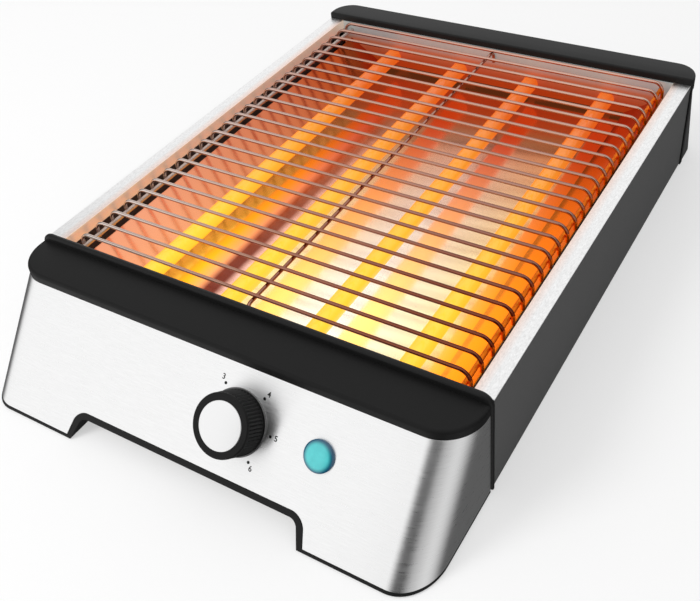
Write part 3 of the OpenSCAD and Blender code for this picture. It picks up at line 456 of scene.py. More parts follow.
# Painted glow: the skirts and the rails' inner edges are tinted salmon and given emission.
painted_glow_tint = tint_along(
    rail_tree, "X", [(SKIRT_X, 0xE6D6CC), (RAIL_X, 0xFFE8DE), (CLEAR_X, 0xFFFFFF)], both_sides=True)
skirt_light = tint_along(rail_tree, "X", [(SKIRT_X, 0xDCC2AC), (RAIL_X, 0x000000)], both_sides=True)
warm = add_node(
    rail_tree, "Mix", {"Factor": 1, "A": source_of(rail_shader, "Base Color"), "B": painted_glow_tint},
    data_type="RGBA", blend_type="MULTIPLY")
feed(rail_tree, rail_shader, {
    "Base Color": warm.outputs["Result"], "Emission Color": skirt_light, "Emission Strength": SKIRT_GLOW})
print("skirt glow:", SKIRT_GLOW)

# %% [markdown]
# ## Glowing heaters
# A quartz heater is a coil of resistance wire in a clear tube. The wire glows orange, and the tube around
# it looks yellow in its middle and deeper at its edges, where the eye looks along the glass. Both are plain
# emission. A lamp hidden in the bay could light the tray instead, but it would leave the tubes themselves
# dark.

# %% Glow finishes
GLOW_FACING = 0.4
GLOW_REAR = 0xCC5214
GLASS_MARKS = 0.1
QUARTZ_ALPHA = 0.85


def glowing(name, edge, core, strength, base, rough):
    """A finish that emits one colour face on and another along its edges."""
    finish, tree, shader = new_finish(name)
    facing = add_node(tree, "LayerWeight", {"Blend": GLOW_FACING}).outputs["Facing"]
    light = mixed(tree, facing, linear(core), linear(edge))
    marks = add_node(tree, "Group", {"Roughness": rough, "Amount": GLASS_MARKS}, node_tree=smudge_group)
    feed(tree, shader, {
        "Base Color": linear(base), "Roughness": marks.outputs["Roughness"],
        "Emission Color": faded(tree, light, GLOW_REAR), "Emission Strength": strength})
    return finish


finishes["hot_element"] = glowing("hot_element", 0xFF8A20, 0xFFB040, strength=4, base=0x8A4A20, rough=0.5)
finishes["quartz"] = glowing("quartz", 0xFF9A10, 0xFFDA3C, strength=1, base=0x907038, rough=0.12)
finishes["quartz"].node_tree.nodes["Principled BSDF"].inputs["Alpha"].default_value = QUARTZ_ALPHA
print("glow finishes:", finishes["hot_element"].name, finishes["quartz"].name)

# %% [markdown]
# ## Front of the toaster
# The front leans back by the angle that the timer's axis gives, and everything on it, the knob, the lens
# and the dial, is placed down its slope from the upper edge. Working in the plane of the sheet keeps those
# places simple.

# %% Measures of the front
panel_low, panel_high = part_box("front_panel")
turn_axis = Vector(JOINTS["timer_turn"]["axis"]).normalized()
PANEL_LEAN = math.atan2(-turn_axis.z, turn_axis.y)
UP_SLOPE = Vector((0, math.sin(PANEL_LEAN), math.cos(PANEL_LEAN)))
OUTWARD = -turn_axis
panel_top = Vector((0, panel_low.y + (panel_high.z - panel_low.z) * math.tan(PANEL_LEAN), panel_high.z))
panel_length = (panel_high.z - panel_low.z) / math.cos(PANEL_LEAN)


def on_panel(x, s):
    """Frame of a feature on the front: X across, Y up the slope, Z outwards, s down from the upper edge."""
    place = Matrix((Vector((1, 0, 0)), UP_SLOPE, OUTWARD)).transposed().to_4x4()
    place.translation = panel_top + Vector((x, 0, 0)) - s * UP_SLOPE
    return place


def down_slope(point):
    """How far down the slope a point lies from the sheet's upper edge."""
    return (panel_top - Vector(point)).dot(UP_SLOPE)


print("lean in degrees:", round(math.degrees(PANEL_LEAN), 2), "length in mm:", round(panel_length / MM, 2))

# %% [markdown]
# ## Steps on a mesh
# Every piece is worked as a bmesh, Blender's editable mesh, and ends as an object that rides on a body of
# the frame and mostly stands for some of its nodes. Rounding, drawing out and settling come back in many
# pieces, so each is a helper. Edit mode could do the same by hand, but not twice in the same way.

# %% Settling a piece
SHARP_ANGLE = 35
EASE_STEPS = 2


def settle(name, bm, finish, body, slot, *nodes, sharp=SHARP_ANGLE):
    """Turns a bmesh into a piece that rides on a body and stands for some CAD nodes."""
    mesh = bpy.data.meshes.new(name)
    bm.to_mesh(mesh)
    bm.free()
    mesh.materials.append(finish)
    mesh.shade_smooth()
    mesh.set_sharp_from_angle(angle=math.radians(sharp))
    piece = bpy.data.objects.new(name, mesh)
    scene.collection.objects.link(piece)
    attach(piece, body)
    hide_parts(*nodes)
    print(f"{name}: {len(mesh.polygons)} faces")
    return piece


def ease(piece, width):
    """A live bevel that takes the sharpness off a piece's edges."""
    bevel = piece.modifiers.new("eased_edges", "BEVEL")
    bevel.width = width
    bevel.segments = EASE_STEPS
    bevel.limit_method = "ANGLE"
    bevel.angle_limit = math.radians(SHARP_ANGLE)
    bevel.harden_normals = True


print("edges count as sharp from", SHARP_ANGLE, "degrees")

# %% Rounding and drawing out
NEAR = 0.01 * MM
MERGE = 0.001 * MM


def round_edges(bm, edges, radius, steps):
    """Rounds chosen edges with arcs of one radius."""
    bmesh.ops.bevel(bm, geom=edges, offset=radius, offset_type="OFFSET", segments=steps, profile=0.5,
                    affect="EDGES", material=-1, clamp_overlap=False)


def verts_in(geom):
    """The vertices in an operator's result."""
    return [g for g in geom if isinstance(g, bmesh.types.BMVert)]


def draw_out(bm, edges, move):
    """Extrudes some edges and moves the new ones, which it returns."""
    made = bmesh.ops.extrude_edge_only(bm, edges=edges)["geom"]
    new_verts = verts_in(made)
    bmesh.ops.translate(bm, verts=new_verts, vec=move)
    ends = set(new_verts)
    return [g for g in made if isinstance(g, bmesh.types.BMEdge) and set(g.verts) <= ends]


def whole(bm):
    """All the geometry of a bmesh."""
    return bm.verts[:] + bm.edges[:] + bm.faces[:]


print("places are the same within", NEAR / MM, "mm")

# %% [markdown]
# ## Front sheet
# The front is one sheet of stainless steel that folds round both corners, with an arch cut from its lower
# edge. It starts as one flat face with the arch's notch, too long at both ends. The arch's upper corners
# are rounded as vertices, the sides and the upper edge are drawn straight in, and the folds are rounded as
# edges. Level planes then cut the sheet to its height, which takes the upper fold off, and an upright one
# cuts the flanks off at the collar. Cutting last keeps the side folds true cylinders.

# %% Folded sheet
PANEL_R = 18 * MM
FOLD_STEPS = 24
ARCH_HALF = 70.4 * MM
ARCH_TAPER = 3.4 * MM
ARCH_RISE = 14 * MM
ARCH_R = 8 * MM
ARCH_STEPS = 12
SPARE = 30 * MM
FLANK = 55 * MM

half_sheet = panel_high.x
low_edge = -panel_length - SPARE
arch_top = ARCH_RISE - panel_length
arch_foot = ARCH_HALF + ARCH_TAPER * SPARE / ARCH_RISE
arch_shoulder = ARCH_HALF - ARCH_TAPER
outline = [
    (-half_sheet, SPARE), (-half_sheet, low_edge), (-arch_foot, low_edge), (-arch_shoulder, arch_top),
    (arch_shoulder, arch_top), (arch_foot, low_edge), (half_sheet, low_edge), (half_sheet, SPARE),
]
bm = bmesh.new()
bm.faces.new([bm.verts.new((x, y, 0)) for x, y in outline])
arch_corners = [v for v in bm.verts if abs(v.co.y - arch_top) < NEAR]
corner_angle = math.pi / 2 + math.atan2(ARCH_TAPER, ARCH_RISE)
bmesh.ops.bevel(bm, geom=arch_corners, offset=ARCH_R / math.tan(corner_angle / 2), offset_type="OFFSET",
                segments=ARCH_STEPS, profile=0.5, affect="VERTICES", material=-1)
folds = [e for e in bm.edges if all(abs(abs(v.co.x) - half_sheet) < NEAR for v in e.verts)]
draw_out(bm, folds, Vector((0, 0, -FLANK)))
round_edges(bm, [e for e in bm.edges if len(e.link_faces) == 2], PANEL_R, FOLD_STEPS)
bmesh.ops.transform(bm, matrix=on_panel(0, 0), verts=bm.verts)
for point, away in ((panel_high, (0, 0, 1)), (panel_low, (0, 0, -1)), (panel_high, (0, 1, 0))):
    bmesh.ops.bisect_plane(bm, geom=whole(bm), dist=MERGE, plane_co=point, plane_no=away, clear_outer=True)
bmesh.ops.recalc_face_normals(bm, faces=bm.faces)
if sum(face.normal.dot(OUTWARD) * face.calc_area() for face in bm.faces) < 0:
    bmesh.ops.reverse_faces(bm, faces=bm.faces)
print("faces of the folded sheet:", len(bm.faces))

# %% [markdown]
# The brush lines run level across the front and round the folds, so the UV map unrolls the sheet: its first
# axis is the way along the sheet, bend included, and its second the way up the slope. A live Solidify then
# gives the sheet its thickness, inwards, and a live bevel eases its edges.

# %% Brush lines and thickness
SHEET_T = 0.8 * MM
SHEET_SHARP = 60
SHEET_EASE = 0.2 * MM

lines = bm.loops.layers.uv.new(BRUSH_MAP)
fold_x = half_sheet - PANEL_R
for face in bm.faces:
    for loop in face.loops:
        depth = (panel_top - loop.vert.co).dot(OUTWARD)
        over = max(abs(loop.vert.co.x) - fold_x, 0)
        bend = math.atan2(over, PANEL_R - depth) if depth < PANEL_R else math.pi / 2
        along = min(abs(loop.vert.co.x), fold_x) + PANEL_R * bend + max(depth - PANEL_R, 0)
        loop[lines].uv = (math.copysign(along, loop.vert.co.x), -down_slope(loop.vert.co))

front_sheet = settle("front_sheet", bm, finishes["brushed_steel"], "base", "brushed_steel", "front_panel",
                     sharp=SHEET_SHARP)
wall = front_sheet.modifiers.new("sheet_thickness", "SOLIDIFY")
wall.thickness = SHEET_T
wall.offset = -1
ease(front_sheet, SHEET_EASE)

# %% [markdown]
# ## Caps
# The front cap is a shallow black moulding with round corners in plan and a softly rounded upper edge. A
# box with two corner edges rounded first, and the rim rounded after, gives both radii cleanly. The rear cap
# is the same shape turned round, a little higher and greyer, and its edge above the bay is eased as well.

# %% Caps
CORNER_STEPS = 24
RIM_STEPS = 8
BAY_EDGE_R = 1.2 * MM
BAY_EDGE_STEPS = 4


def lies_at(edge, axis, place):
    """Whether both ends of an edge lie at one place on an axis."""
    return all(abs(getattr(v.co, axis) - place) < NEAR for v in edge.verts)


def cap(name, node, corner, rim, finish, rear_end):
    """A moulded cap: corners rounded in plan away from the bay, then the rim of its upper face."""
    low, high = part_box(node)
    bm = bmesh.new()
    bmesh.ops.create_cube(
        bm, size=1, matrix=Matrix.Translation((low + high) / 2) @ Matrix.Diagonal((*(high - low), 1)))
    outer_y = high.y if rear_end else low.y
    bay_side_y = low.y if rear_end else high.y
    uprights = [e for e in bm.edges if lies_at(e, "y", outer_y) and not lies_at(e, "z", e.verts[0].co.z)]
    round_edges(bm, uprights, corner, CORNER_STEPS)
    rim_edges = [e for e in bm.edges if lies_at(e, "z", high.z) and not lies_at(e, "y", bay_side_y)]
    round_edges(bm, rim_edges, rim, RIM_STEPS)
    if rear_end:
        bay_edges = [e for e in bm.edges if lies_at(e, "y", bay_side_y) and not lies_at(e, "z", low.z)]
        round_edges(bm, bay_edges, BAY_EDGE_R, BAY_EDGE_STEPS)
    settle(name, bm, finishes[finish], "base", finish, node)


cap("front_cap_moulding", "front_cap", 20 * MM, 1.8 * MM, "black_cap", rear_end=False)
cap("rear_cap_moulding", "rear_cap", 14 * MM, 1.5 * MM, "grey_cap", rear_end=True)

# %% [markdown]
# ## Eased copies
# Folded sheets, mouldings and stamped pieces already have the right shape in the frame, but their edges are
# perfectly sharp, and no real edge is. A copy of the mesh is merged, its flat triangles are dissolved into
# larger faces, and a live bevel, given here in millimetres, eases what is left. The frame's own mesh stays
# as it is.

# %% Eased copies
FLAT_ANGLE = 0.5
SLOT_OF = {part["node"]: part["material_slot"] for part in frame["record"]["subparts"]}
BODY_OF = {node: body for body, nodes in frame["record"]["behaviour"]["bodies"].items() for node in nodes}
OWN_FINISH = {"rear_housing": "grey_housing", "crumb_tray": "tray_steel"}
EASED = {
    "rear_housing": 0.5, "rear_collar": 0.5, "front_housing": 0.3,
    "left_side_panel": 0.3, "right_side_panel": 0.3, "left_rail": 0.3, "right_rail": 0.3,
    "front_end_plate": 0.15, "rear_end_plate": 0.15, "left_reflector": 0.1, "right_reflector": 0.1,
    "crumb_tray": 0.1, "tray_pull": 0.5, "cord_gland": 0.4, "foot_pads": 0.4, "knob_ring": 0.3,
    "quartz_tubes": 0.1, "rack_side_wires": 0.2, "rack_centre_wire": 0.2, "rack_centre_ends": 0.2,
    "base_plate": 0.15,
}


def merged_copy(node):
    """A bmesh of a CAD node with its triangles merged and its flat faces joined."""
    bm = bmesh.new()
    bm.from_mesh(frame["nodes"][node].data)
    bmesh.ops.remove_doubles(bm, verts=bm.verts, dist=MERGE)
    bmesh.ops.dissolve_limit(bm, angle_limit=math.radians(FLAT_ANGLE), verts=bm.verts, edges=bm.edges)
    return bm


for node, width in EASED.items():
    slot = SLOT_OF[node]
    finish = finishes[OWN_FINISH.get(node, slot)]
    ease(settle(f"{node}_finished", merged_copy(node), finish, BODY_OF[node], slot, node), width * MM)

# %% [markdown]
# ## Front collar
# A black collar stands between the front end and the bay, and its upper edge is a round bead. The copied
# plate keeps its holes for the heaters, so only the edges of its outline are rounded, by nearly half its
# thickness.

# %% Front collar
BEAD_R = 1.7 * MM
BEAD_STEPS = 6
COLLAR_CORNER = 6.5 * MM
COLLAR_SIDE = 1 * MM
SQUARE_FROM = 60

low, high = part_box("front_collar")


def on_outline(vert):
    """Whether a vertex lies on the collar's upper outline or flanks, and not at a hole."""
    return vert.co.z > high.z - COLLAR_CORNER or abs(vert.co.x) > high.x - COLLAR_SIDE


def along_outline(edge):
    """Whether an edge runs along the outline, in the front or the rear face."""
    square = len(edge.link_faces) == 2 and edge.calc_face_angle(0) > math.radians(SQUARE_FROM)
    return square and lies_at(edge, "y", edge.verts[0].co.y) and all(map(on_outline, edge.verts))


bm = merged_copy("front_collar")
round_edges(bm, [e for e in bm.edges if along_outline(e)], BEAD_R, BEAD_STEPS)
settle("front_collar_bead", bm, finishes["black_plastic"], "base", "black_plastic", "front_collar")

# %% [markdown]
# ## Rack
# The rack is welded from plated wire. Each cross wire lies flat over the bay and bends down at both ends,
# where a side wire carries it. One half of a wire is a ring of edges that is drawn out, spun through the
# bend and drawn down, and its mirror makes the other half. The finished wire is then copied along the bay.
# A curve with a round bevel would also do, but it has to be converted before it can be mirrored and merged.

# %% One cross wire
WIRE_SIDES = 12
WIRE_R = 1 * MM
WIRE_BEND_R = 6 * MM
WIRE_BEND_STEPS = 8
WIRE_COUNT = 25

low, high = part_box("rack_right_ends")
wire_z = high.z - WIRE_R
bend_x = high.x - WIRE_R - WIRE_BEND_R
bend_z = wire_z - WIRE_BEND_R
first_y = low.y + WIRE_R
wire_pitch = (high.y - low.y - 2 * WIRE_R) / (WIRE_COUNT - 1)


def ends_of(edges):
    """The vertices of some edges, each once."""
    return list(dict.fromkeys(v for e in edges for v in e.verts))


bm = bmesh.new()
start = Matrix.Translation((0, first_y, wire_z)) @ Matrix.Rotation(math.pi / 2, 4, "Y")
bmesh.ops.create_circle(bm, segments=WIRE_SIDES, radius=WIRE_R, matrix=start)
ring = draw_out(bm, bm.edges[:], Vector((bend_x, 0, 0)))
bent = bmesh.ops.spin(bm, geom=ends_of(ring) + ring, cent=(bend_x, first_y, bend_z), axis=(0, 1, 0),
                      dvec=(0, 0, 0), angle=math.pi / 2, steps=WIRE_BEND_STEPS, use_merge=False)["geom_last"]
ring = [g for g in bent if isinstance(g, bmesh.types.BMEdge)]
leg_end = draw_out(bm, ring, Vector((0, 0, low.z - bend_z)))
bmesh.ops.holes_fill(bm, edges=leg_end, sides=0)
bmesh.ops.mirror(bm, geom=whole(bm), axis="X", merge_dist=NEAR)
bmesh.ops.remove_doubles(bm, verts=bm.verts, dist=NEAR / 2)
bmesh.ops.recalc_face_normals(bm, faces=bm.faces)
print("pitch of the wires in mm:", round(wire_pitch / MM, 2))

# %% Cross wires
def copy_on(bm, geom, move):
    """Copies some geometry and moves the copy."""
    copied = bmesh.ops.duplicate(bm, geom=geom)["geom"]
    bmesh.ops.translate(bm, verts=verts_in(copied), vec=move)


one_wire = whole(bm)
for count in range(1, WIRE_COUNT):
    copy_on(bm, one_wire, Vector((0, count * wire_pitch, 0)))
settle("rack_wires", bm, finishes["chrome_wire"], "base", "chrome_wire",
       "rack_cross_wires", "rack_left_ends", "rack_right_ends")

# %% [markdown]
# ## Heating coils
# Inside each quartz tube the resistance wire is wound as an open coil, with a straight pin at both ends. A
# small ring spun about the tube's axis, and moved on a little with every step, draws a coil in one
# operator. A long spin is slow, so only a few turns are spun. Copies of them carry the coil on along the
# tube.

# %% One coil
COIL_R = 1.6 * MM
COIL_WIRE_R = 0.38 * MM
COIL_WIRE_SIDES = 6
COIL_PITCH = 2.8 * MM
COIL_STEPS = 12
SPUN_TURNS = 5
ELEMENT_INSET = 19 * MM

low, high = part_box("heating_elements")
tube_low, tube_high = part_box("quartz_tubes")
tube_r = (tube_high.z - tube_low.z) / 2
tube_z = (tube_high.z + tube_low.z) / 2
outer_x = tube_high.x - tube_r
coil_start = low.y + ELEMENT_INSET
coil_end = high.y - ELEMENT_INSET
lengths = round((coil_end - coil_start) / (COIL_PITCH * SPUN_TURNS))
pitch = (coil_end - coil_start) / (lengths * SPUN_TURNS)

bm = bmesh.new()
coil_top = Vector((-outer_x, coil_start, tube_z + COIL_R))
bmesh.ops.create_circle(bm, segments=COIL_WIRE_SIDES, radius=COIL_WIRE_R,
                        matrix=Matrix.Translation(coil_top) @ Matrix.Rotation(math.pi / 2, 4, "Y"))
bmesh.ops.spin(bm, geom=bm.verts[:] + bm.edges[:], cent=(-outer_x, coil_start, tube_z), axis=(0, 1, 0),
               dvec=(0, pitch / COIL_STEPS, 0), angle=2 * math.pi * SPUN_TURNS,
               steps=SPUN_TURNS * COIL_STEPS, use_merge=False)
turns = whole(bm)
for count in range(1, lengths):
    copy_on(bm, turns, Vector((0, count * pitch * SPUN_TURNS, 0)))
bmesh.ops.remove_doubles(bm, verts=bm.verts, dist=NEAR)
print("turns of a coil:", lengths * SPUN_TURNS, "pitch in mm:", round(pitch / MM, 2))

# %% Pins and heaters
PIN_R = 1.2 * MM
PIN_SIDES = 12
TUBE_COUNT = 4

for start_y in (low.y, coil_end):
    pin_place = Matrix.Translation((-outer_x, start_y, tube_z)) @ Matrix.Rotation(-math.pi / 2, 4, "X")
    pin = bmesh.ops.create_circle(bm, segments=PIN_SIDES, radius=PIN_R, matrix=pin_place)["verts"]
    pin_edges = list(dict.fromkeys(e for v in pin for e in v.link_edges))
    pin_end = draw_out(bm, pin_edges, Vector((0, ELEMENT_INSET, 0)))
    bmesh.ops.holes_fill(bm, edges=pin_edges + pin_end, sides=0)
bmesh.ops.recalc_face_normals(bm, faces=bm.faces)
one_heater = whole(bm)
for count in range(1, TUBE_COUNT):
    copy_on(bm, one_heater, Vector((count * 2 * outer_x / (TUBE_COUNT - 1), 0, 0)))
settle("heating_coils", bm, finishes["hot_element"], "base", "hot_element", "heating_elements")

# %% [markdown]
# ## Timer knob
# The knob is a black moulding with fine grip ribs round its side, a smooth band at the front and a bright
# disc in its face. Its rings, each a radius and a rise in millimetres, are drawn out one after another from
# a circle. Every second vertex of the ribbed rings is then pulled in, which cuts all the ribs at once.
# Cutting each rib with a boolean would be slower and would leave thin faces.

# %% Timer knob
RIBS = 54
RIB_DEPTH = 0.6 * MM
RIBBED_RISES = (2.2, 11.9)
KNOB_RINGS = [
    (14.9, 1.3), (15.1, 1.5), (15.1, 2.2), (14.75, 11.9), (14.8, 12.2), (14.75, 12.6), (14.5, 12.95),
    (14.2, 13.1), (11.5, 13.1), (11.35, 12.95), (11.35, 12.2),
]
KNOB_SHARP = 25

knob_centre = Vector(JOINTS["timer_turn"]["pos_m"])
knob_place = on_panel(knob_centre.x, down_slope(knob_centre))
bm = bmesh.new()
radius, rise = KNOB_RINGS[0]
bmesh.ops.create_circle(bm, segments=2 * RIBS, radius=radius * MM,
                        matrix=Matrix.Translation((0, 0, rise * MM)))
ring = bm.edges[:]
bmesh.ops.holes_fill(bm, edges=ring, sides=0)
for next_radius, next_rise in KNOB_RINGS[1:]:
    ring = draw_out(bm, ring, Vector((0, 0, (next_rise - rise) * MM)))
    for vert in ends_of(ring):
        step = round(math.atan2(vert.co.y, vert.co.x) / math.pi * RIBS)
        valley = RIB_DEPTH if next_rise in RIBBED_RISES and step % 2 else 0
        vert.co.xy = vert.co.xy.normalized() * (next_radius * MM - valley)
    rise = next_rise
bmesh.ops.holes_fill(bm, edges=ring, sides=0)
bmesh.ops.recalc_face_normals(bm, faces=bm.faces)
bmesh.ops.transform(bm, matrix=knob_place, verts=bm.verts)
settle("timer_knob_ribbed", bm, finishes["knob_black"], "timer_knob_set", "knob_black", "timer_knob",
       sharp=KNOB_SHARP)

# %% [markdown]
# ## Knob disc
# The disc in the knob's face is spun aluminium: turning leaves fine rings round its middle. A wave over the
# distance from the knob's axis draws them. The Mapping node moves the pattern to the knob and turns it
# square to the axis, so the rings stay round on the leaning face.

# %% Spun finish
SPUN_DARK, SPUN_LIGHT = 0.88, 1
RING_SCALE = 900


def seen_from(tree, place):
    """Object coordinates as seen from a place, with its middle as the origin and its axis as Z."""
    coords = add_node(tree, "TexCoord").outputs["Object"]
    mapping = add_node(tree, "Mapping", {
        "Vector": coords, "Location": place.translation, "Rotation": place.to_euler()}, vector_type="TEXTURE")
    return mapping.outputs["Vector"]


finishes["knob_silver"], disc_tree, disc_shader = new_finish("knob_silver")
rings = add_node(disc_tree, "TexWave", {
    "Vector": seen_from(disc_tree, knob_place), "Scale": RING_SCALE, "Distortion": 1.5, "Detail": 3,
}, wave_type="RINGS", rings_direction="Z").outputs["Fac"]
relief = add_node(disc_tree, "Bump", {"Height": rings, "Strength": 0.1, "Distance": 0.02 * MM})
feed(disc_tree, disc_shader, {
    "Base Color": ramp_of(disc_tree, rings, [(0, (*grey(SPUN_DARK), 1)), (1, (*grey(SPUN_LIGHT), 1))]),
    "Normal": relief.outputs["Normal"], "Metallic": 1, "Roughness": 0.3})
print("spun finish:", finishes["knob_silver"].name)

# %% Knob disc
DISC_R = 11.3 * MM
DISC_BASE = 12.3 * MM
DISC_T = 0.9 * MM
DISC_SIDES = 96
DISC_RIM_R = 0.35 * MM
DISC_RIM_STEPS = 4

disc_middle = DISC_BASE + DISC_T / 2
bm = bmesh.new()
bmesh.ops.create_cone(bm, cap_ends=True, segments=DISC_SIDES, radius1=DISC_R, radius2=DISC_R, depth=DISC_T,
                      matrix=Matrix.Translation((0, 0, disc_middle)))
rim = [e for e in bm.edges if all(v.co.z > disc_middle for v in e.verts)]
round_edges(bm, rim, DISC_RIM_R, DISC_RIM_STEPS)
bmesh.ops.transform(bm, matrix=knob_place, verts=bm.verts)
settle("knob_face_disc", bm, finishes["knob_silver"], "timer_knob_set", "knob_silver", "knob_disc")

# %% [markdown]
# ## Pilot lens
# The lamp's lens is a turquoise button with a low dome, tinted right through and glossy. It looks deep blue
# towards its rim, where the dark housing would show through: that rim is painted shade, a colour that changes
# over the distance from its axis. A clear coat gives the gloss, and a little emission stands for the lamp
# behind it, because real transmission would only show the dark housing.

# %% Lens finish
RIM_SHADE_START, RIM_SHADE_END = 4.8 * MM, 7.3 * MM
LENS_DARK = (0.05, 0.43, 0.45, 1)
LENS_LIGHT = (0.07, 0.52, 0.53, 1)
LENS_RIM_SHADE = (0.004, 0.06, 0.12, 1)
LENS_CLOUD = (160, 160, 160)
LENS_GLOW = 0.25

low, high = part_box("pilot_lens")
lens_middle = (low + high) / 2
lens_place = on_panel(lens_middle.x, down_slope(lens_middle))
finishes["turquoise_lens"], lens_tree, lens_shader = new_finish("turquoise_lens")
cloud = add_node(lens_tree, "Group", {
    "Stretch": LENS_CLOUD, "Dark": LENS_DARK, "Light": LENS_LIGHT}, node_tree=grain_group)
across = add_node(lens_tree, "VectorMath", {
    0: seen_from(lens_tree, lens_place), 1: (1, 1, 0)}, operation="MULTIPLY")
from_axis = add_node(lens_tree, "VectorMath", {0: across.outputs["Vector"]}, operation="LENGTH")
# Painted shade: towards the rim the colour is mixed over to a deep blue.
rim_shade_mask = add_node(lens_tree, "MapRange", {
    "Value": from_axis.outputs["Value"], "From Min": RIM_SHADE_START, "From Max": RIM_SHADE_END,
}, interpolation_type="SMOOTHSTEP")
lens_colour = mixed(lens_tree, rim_shade_mask.outputs["Result"], cloud.outputs["Colour"], LENS_RIM_SHADE)
feed(lens_tree, lens_shader, {
    "Base Color": lens_colour, "Emission Color": lens_colour, "Emission Strength": LENS_GLOW,
    "Roughness": 0.12, "Coat Weight": 0.6, "Coat Roughness": 0.03})
print("lens middle in mm:", [round(c / MM, 1) for c in lens_middle])

# %% [markdown]
# The dome itself is drawn ring by ring from a circle. Each ring stands a little higher and is a little
# narrower, as the sine and the cosine of a quarter turn give it, so the dome meets its rim without a
# crease.

# %% Pilot lens
LENS_R = 7.45 * MM
LENS_SIDES = 64
LENS_RIM = 1.0 * MM
LENS_DOME = 1.4 * MM
DOME_STEPS = 10

bm = bmesh.new()
bmesh.ops.create_circle(bm, segments=LENS_SIDES, radius=LENS_R)
ring = bm.edges[:]
bmesh.ops.holes_fill(bm, edges=ring, sides=0)
ring = draw_out(bm, ring, Vector((0, 0, LENS_RIM)))
share, height = 1, 0
for step in range(1, DOME_STEPS):
    angle = step / DOME_STEPS * math.pi / 2
    ring = draw_out(bm, ring, Vector((0, 0, LENS_DOME * (math.sin(angle) - height))))
    narrow = math.cos(angle) / share
    bmesh.ops.scale(bm, verts=ends_of(ring), vec=(narrow, narrow, 1))
    share, height = math.cos(angle), math.sin(angle)
bmesh.ops.holes_fill(bm, edges=ring, sides=0)
bmesh.ops.recalc_face_normals(bm, faces=bm.faces)
bmesh.ops.transform(bm, matrix=lens_place, verts=bm.verts)
settle("pilot_lens_dome", bm, finishes["turquoise_lens"], "base", "turquoise_lens", "pilot_lens")

# %% [markdown]
# ## Dial marks
# Six settings are printed round the knob, each a dot with its number outside it. A text object knows the
# shape of a digit, so each number is made as text, turned into a mesh and laid on the sheet. The dots are
# small circles.

# %% Dial marks
DIAL_TURNS = (-144, -90, -36, 36, 90, 144)
DOT_RING = 18.4 * MM
DOT_R = 0.75 * MM
DOT_SIDES = 16
NUMBER_RING = 21.4 * MM
NUMBER_SIZE = 3.7 * MM
NUMBER_WEIGHT = 0.06 * MM
INK_LIFT = 0.03 * MM


def on_dial(ring, turn):
    """Place on the panel, at a radius and a clockwise turn from straight up the slope."""
    angle = math.radians(turn)
    return knob_place @ Matrix.Translation((ring * math.sin(angle), ring * math.cos(angle), INK_LIFT))


bm = bmesh.new()
for number, turn in enumerate(DIAL_TURNS, start=1):
    dot_place = on_dial(DOT_RING, turn)
    bmesh.ops.create_circle(bm, cap_ends=True, segments=DOT_SIDES, radius=DOT_R, matrix=dot_place)
    digit = bpy.data.curves.new("digit", "FONT")
    digit.body = str(number)
    digit.size = NUMBER_SIZE
    digit.offset = NUMBER_WEIGHT
    digit.align_x = "CENTER"
    digit.align_y = "CENTER"
    letter = bpy.data.objects.new("digit", digit)
    print_shape = letter.to_mesh()
    print_shape.transform(on_dial(NUMBER_RING, turn))
    bm.from_mesh(print_shape)
    letter.to_mesh_clear()
    bpy.data.objects.remove(letter)
settle("dial_marks", bm, finishes["knob_black"], "base", "knob_black")

# %% [markdown]
# ## The rest of the frame
# What sits inside the housings shows only through gaps and from below, and its CAD shape is right as it is.
# Each of those nodes gets the finish of its material slot.

# %% Finishes for the nodes that stay
for node, piece in frame["nodes"].items():
    if not piece.hide_render:
        piece.data.materials.clear()
        piece.data.materials.append(finishes[SLOT_OF[node]])
        print(node, "->", SLOT_OF[node])

# %% [markdown]
# ## Studio floor
# The toaster stands on a plain white floor. More light would also whiten it, but would wash out the
# toaster, so a share of what the camera sees of the floor is plain white, and the rest is lit and keeps the
# shadow.

# %% Floor
FLOOR_HALF = 6
FLOOR_WHITE = (*grey(0.97), 1)
PAPER_SHARE = 0.5

floor_finish, floor_tree, floor_shader = new_finish("white_floor")
feed(floor_tree, floor_shader, {"Base Color": FLOOR_WHITE, "Roughness": 0.8, "Specular IOR Level": 0.1})
camera_ray = add_node(floor_tree, "LightPath").outputs["Is Camera Ray"]
paper = add_node(floor_tree, "Emission")
pale = add_node(floor_tree, "MixShader", {
    "Fac": maths(floor_tree, "MULTIPLY", camera_ray, PAPER_SHARE),
    1: floor_shader.outputs["BSDF"], 2: paper.outputs["Emission"]})
feed(floor_tree, floor_tree.nodes["Material Output"], {"Surface": pale.outputs["Shader"]})

bm = bmesh.new()
bmesh.ops.create_grid(bm, x_segments=1, y_segments=1, size=FLOOR_HALF)
floor_mesh = bpy.data.meshes.new("floor")
bm.to_mesh(floor_mesh)
bm.free()
floor_mesh.materials.append(floor_finish)
floor = bpy.data.objects.new("floor", floor_mesh)
scene.collection.objects.link(floor)
floor.visible_glossy = False
print("floor in m:", 2 * FLOOR_HALF)

# %% [markdown]
# ## Studio light
# A soft dome lights the toaster at a plain level. The camera sees the dome as plain white, and so do metal
# and glass, apart from some dark strips: they stand for the black cards that a photographer sets up so that
# bent steel shows upright bands. Below the horizon the front is as above it, like a table in the same
# light, and the sides and the rear are dark, like the toaster's own shadow. Real cards would need many
# objects, and a ramp round the horizon draws them all.

# %% Levels of the dome
DOME = [(-180, 1), (-125, 1), (-112, 0.2), (-90, 0.2), (-66, 1), (-20, 1), (6, 0.02), (20, 0.02),
        (44, 0.5), (68, 0.78), (110, 0.12), (120, 0.12), (140, 0.9), (180, 1)]
TABLE = [(-180, 0.1), (-90, 0.1), (-66, 1), (-20, 1), (6, 0.02), (20, 0.02), (44, 0.5), (68, 0.78),
         (110, 0.1), (180, 0.1)]
CARDS_END, ZENITH_START = 0.55, 0.9
TABLE_END, HORIZON = -0.2, 0
WHITE = (1, 1, 1, 1)

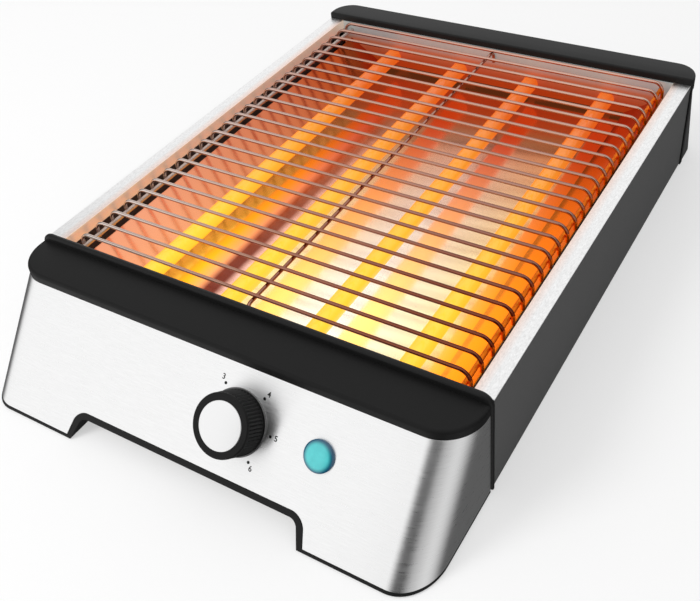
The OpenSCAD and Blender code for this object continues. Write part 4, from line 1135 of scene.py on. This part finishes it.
world = bpy.data.worlds.new("studio")
scene.world = world
world.use_nodes = True
studio = world.node_tree
direction = add_node(studio, "TexCoord").outputs["Generated"]
axes = add_node(studio, "SeparateXYZ", {"Vector": direction}).outputs
azimuth = maths(studio, "ARCTAN2", axes["X"], maths(studio, "MULTIPLY", axes["Y"], -1))
around = add_node(studio, "MapRange", {"Value": azimuth, "From Min": -math.pi, "From Max": math.pi})


def levels_around(levels):
    """Light levels round the horizon, from stops of (degrees from the front, level)."""
    stops = [((angle + 180) / 360, (*grey(level), 1)) for angle, level in levels]
    return ramp_of(studio, around.outputs["Result"], stops, "EASE")


def over_height(start, end, lower, upper):
    """Goes from one light to another between two heights of the direction."""
    share = add_node(studio, "MapRange", {
        "Value": axes["Z"], "From Min": start, "From Max": end}, interpolation_type="SMOOTHSTEP")
    return mixed(studio, share.outputs["Result"], lower, upper)


dome = over_height(CARDS_END, ZENITH_START, levels_around(DOME), WHITE)
cards = over_height(TABLE_END, HORIZON, levels_around(TABLE), dome)
print("stops of the dome:", len(DOME), "and of the table:", len(TABLE))

# %% [markdown]
# Light Path tells the rays apart. Camera rays see white, glossy and transmitted rays see the dome with its
# cards at full strength, and the light that falls on the toaster is a little weaker, because the key lamp
# adds to it. That lamp is large and stands at the front left, which gives the shadows their direction.

# %% Light
SOFT_LIGHT = 0.9
KEY_SIZE = 0.7
KEY_POWER = 10
KEY_PLACE = Vector((-0.75, -0.95, 1.15))

ray = add_node(studio, "LightPath").outputs
seen = maths(studio, "MAXIMUM", ray["Is Camera Ray"], ray["Is Glossy Ray"])
seen = maths(studio, "MAXIMUM", seen, ray["Is Transmission Ray"])
level = add_node(studio, "MapRange", {"Value": seen, "To Min": SOFT_LIGHT, "To Max": 1})
feed(studio, studio.nodes["Background"], {
    "Color": mixed(studio, ray["Is Camera Ray"], cards, WHITE), "Strength": level.outputs["Result"]})

key = bpy.data.lights.new("key", "AREA")
key.shape = "DISK"
key.size = KEY_SIZE
key.energy = KEY_POWER
key_lamp = bpy.data.objects.new("key", key)
key_turn = (-KEY_PLACE).to_track_quat("-Z", "Y").to_matrix().to_4x4()
key_lamp.matrix_world = Matrix.Translation(KEY_PLACE) @ key_turn
key_lamp.visible_glossy = False
scene.collection.objects.link(key_lamp)
print("lamps:", len(bpy.data.lights))
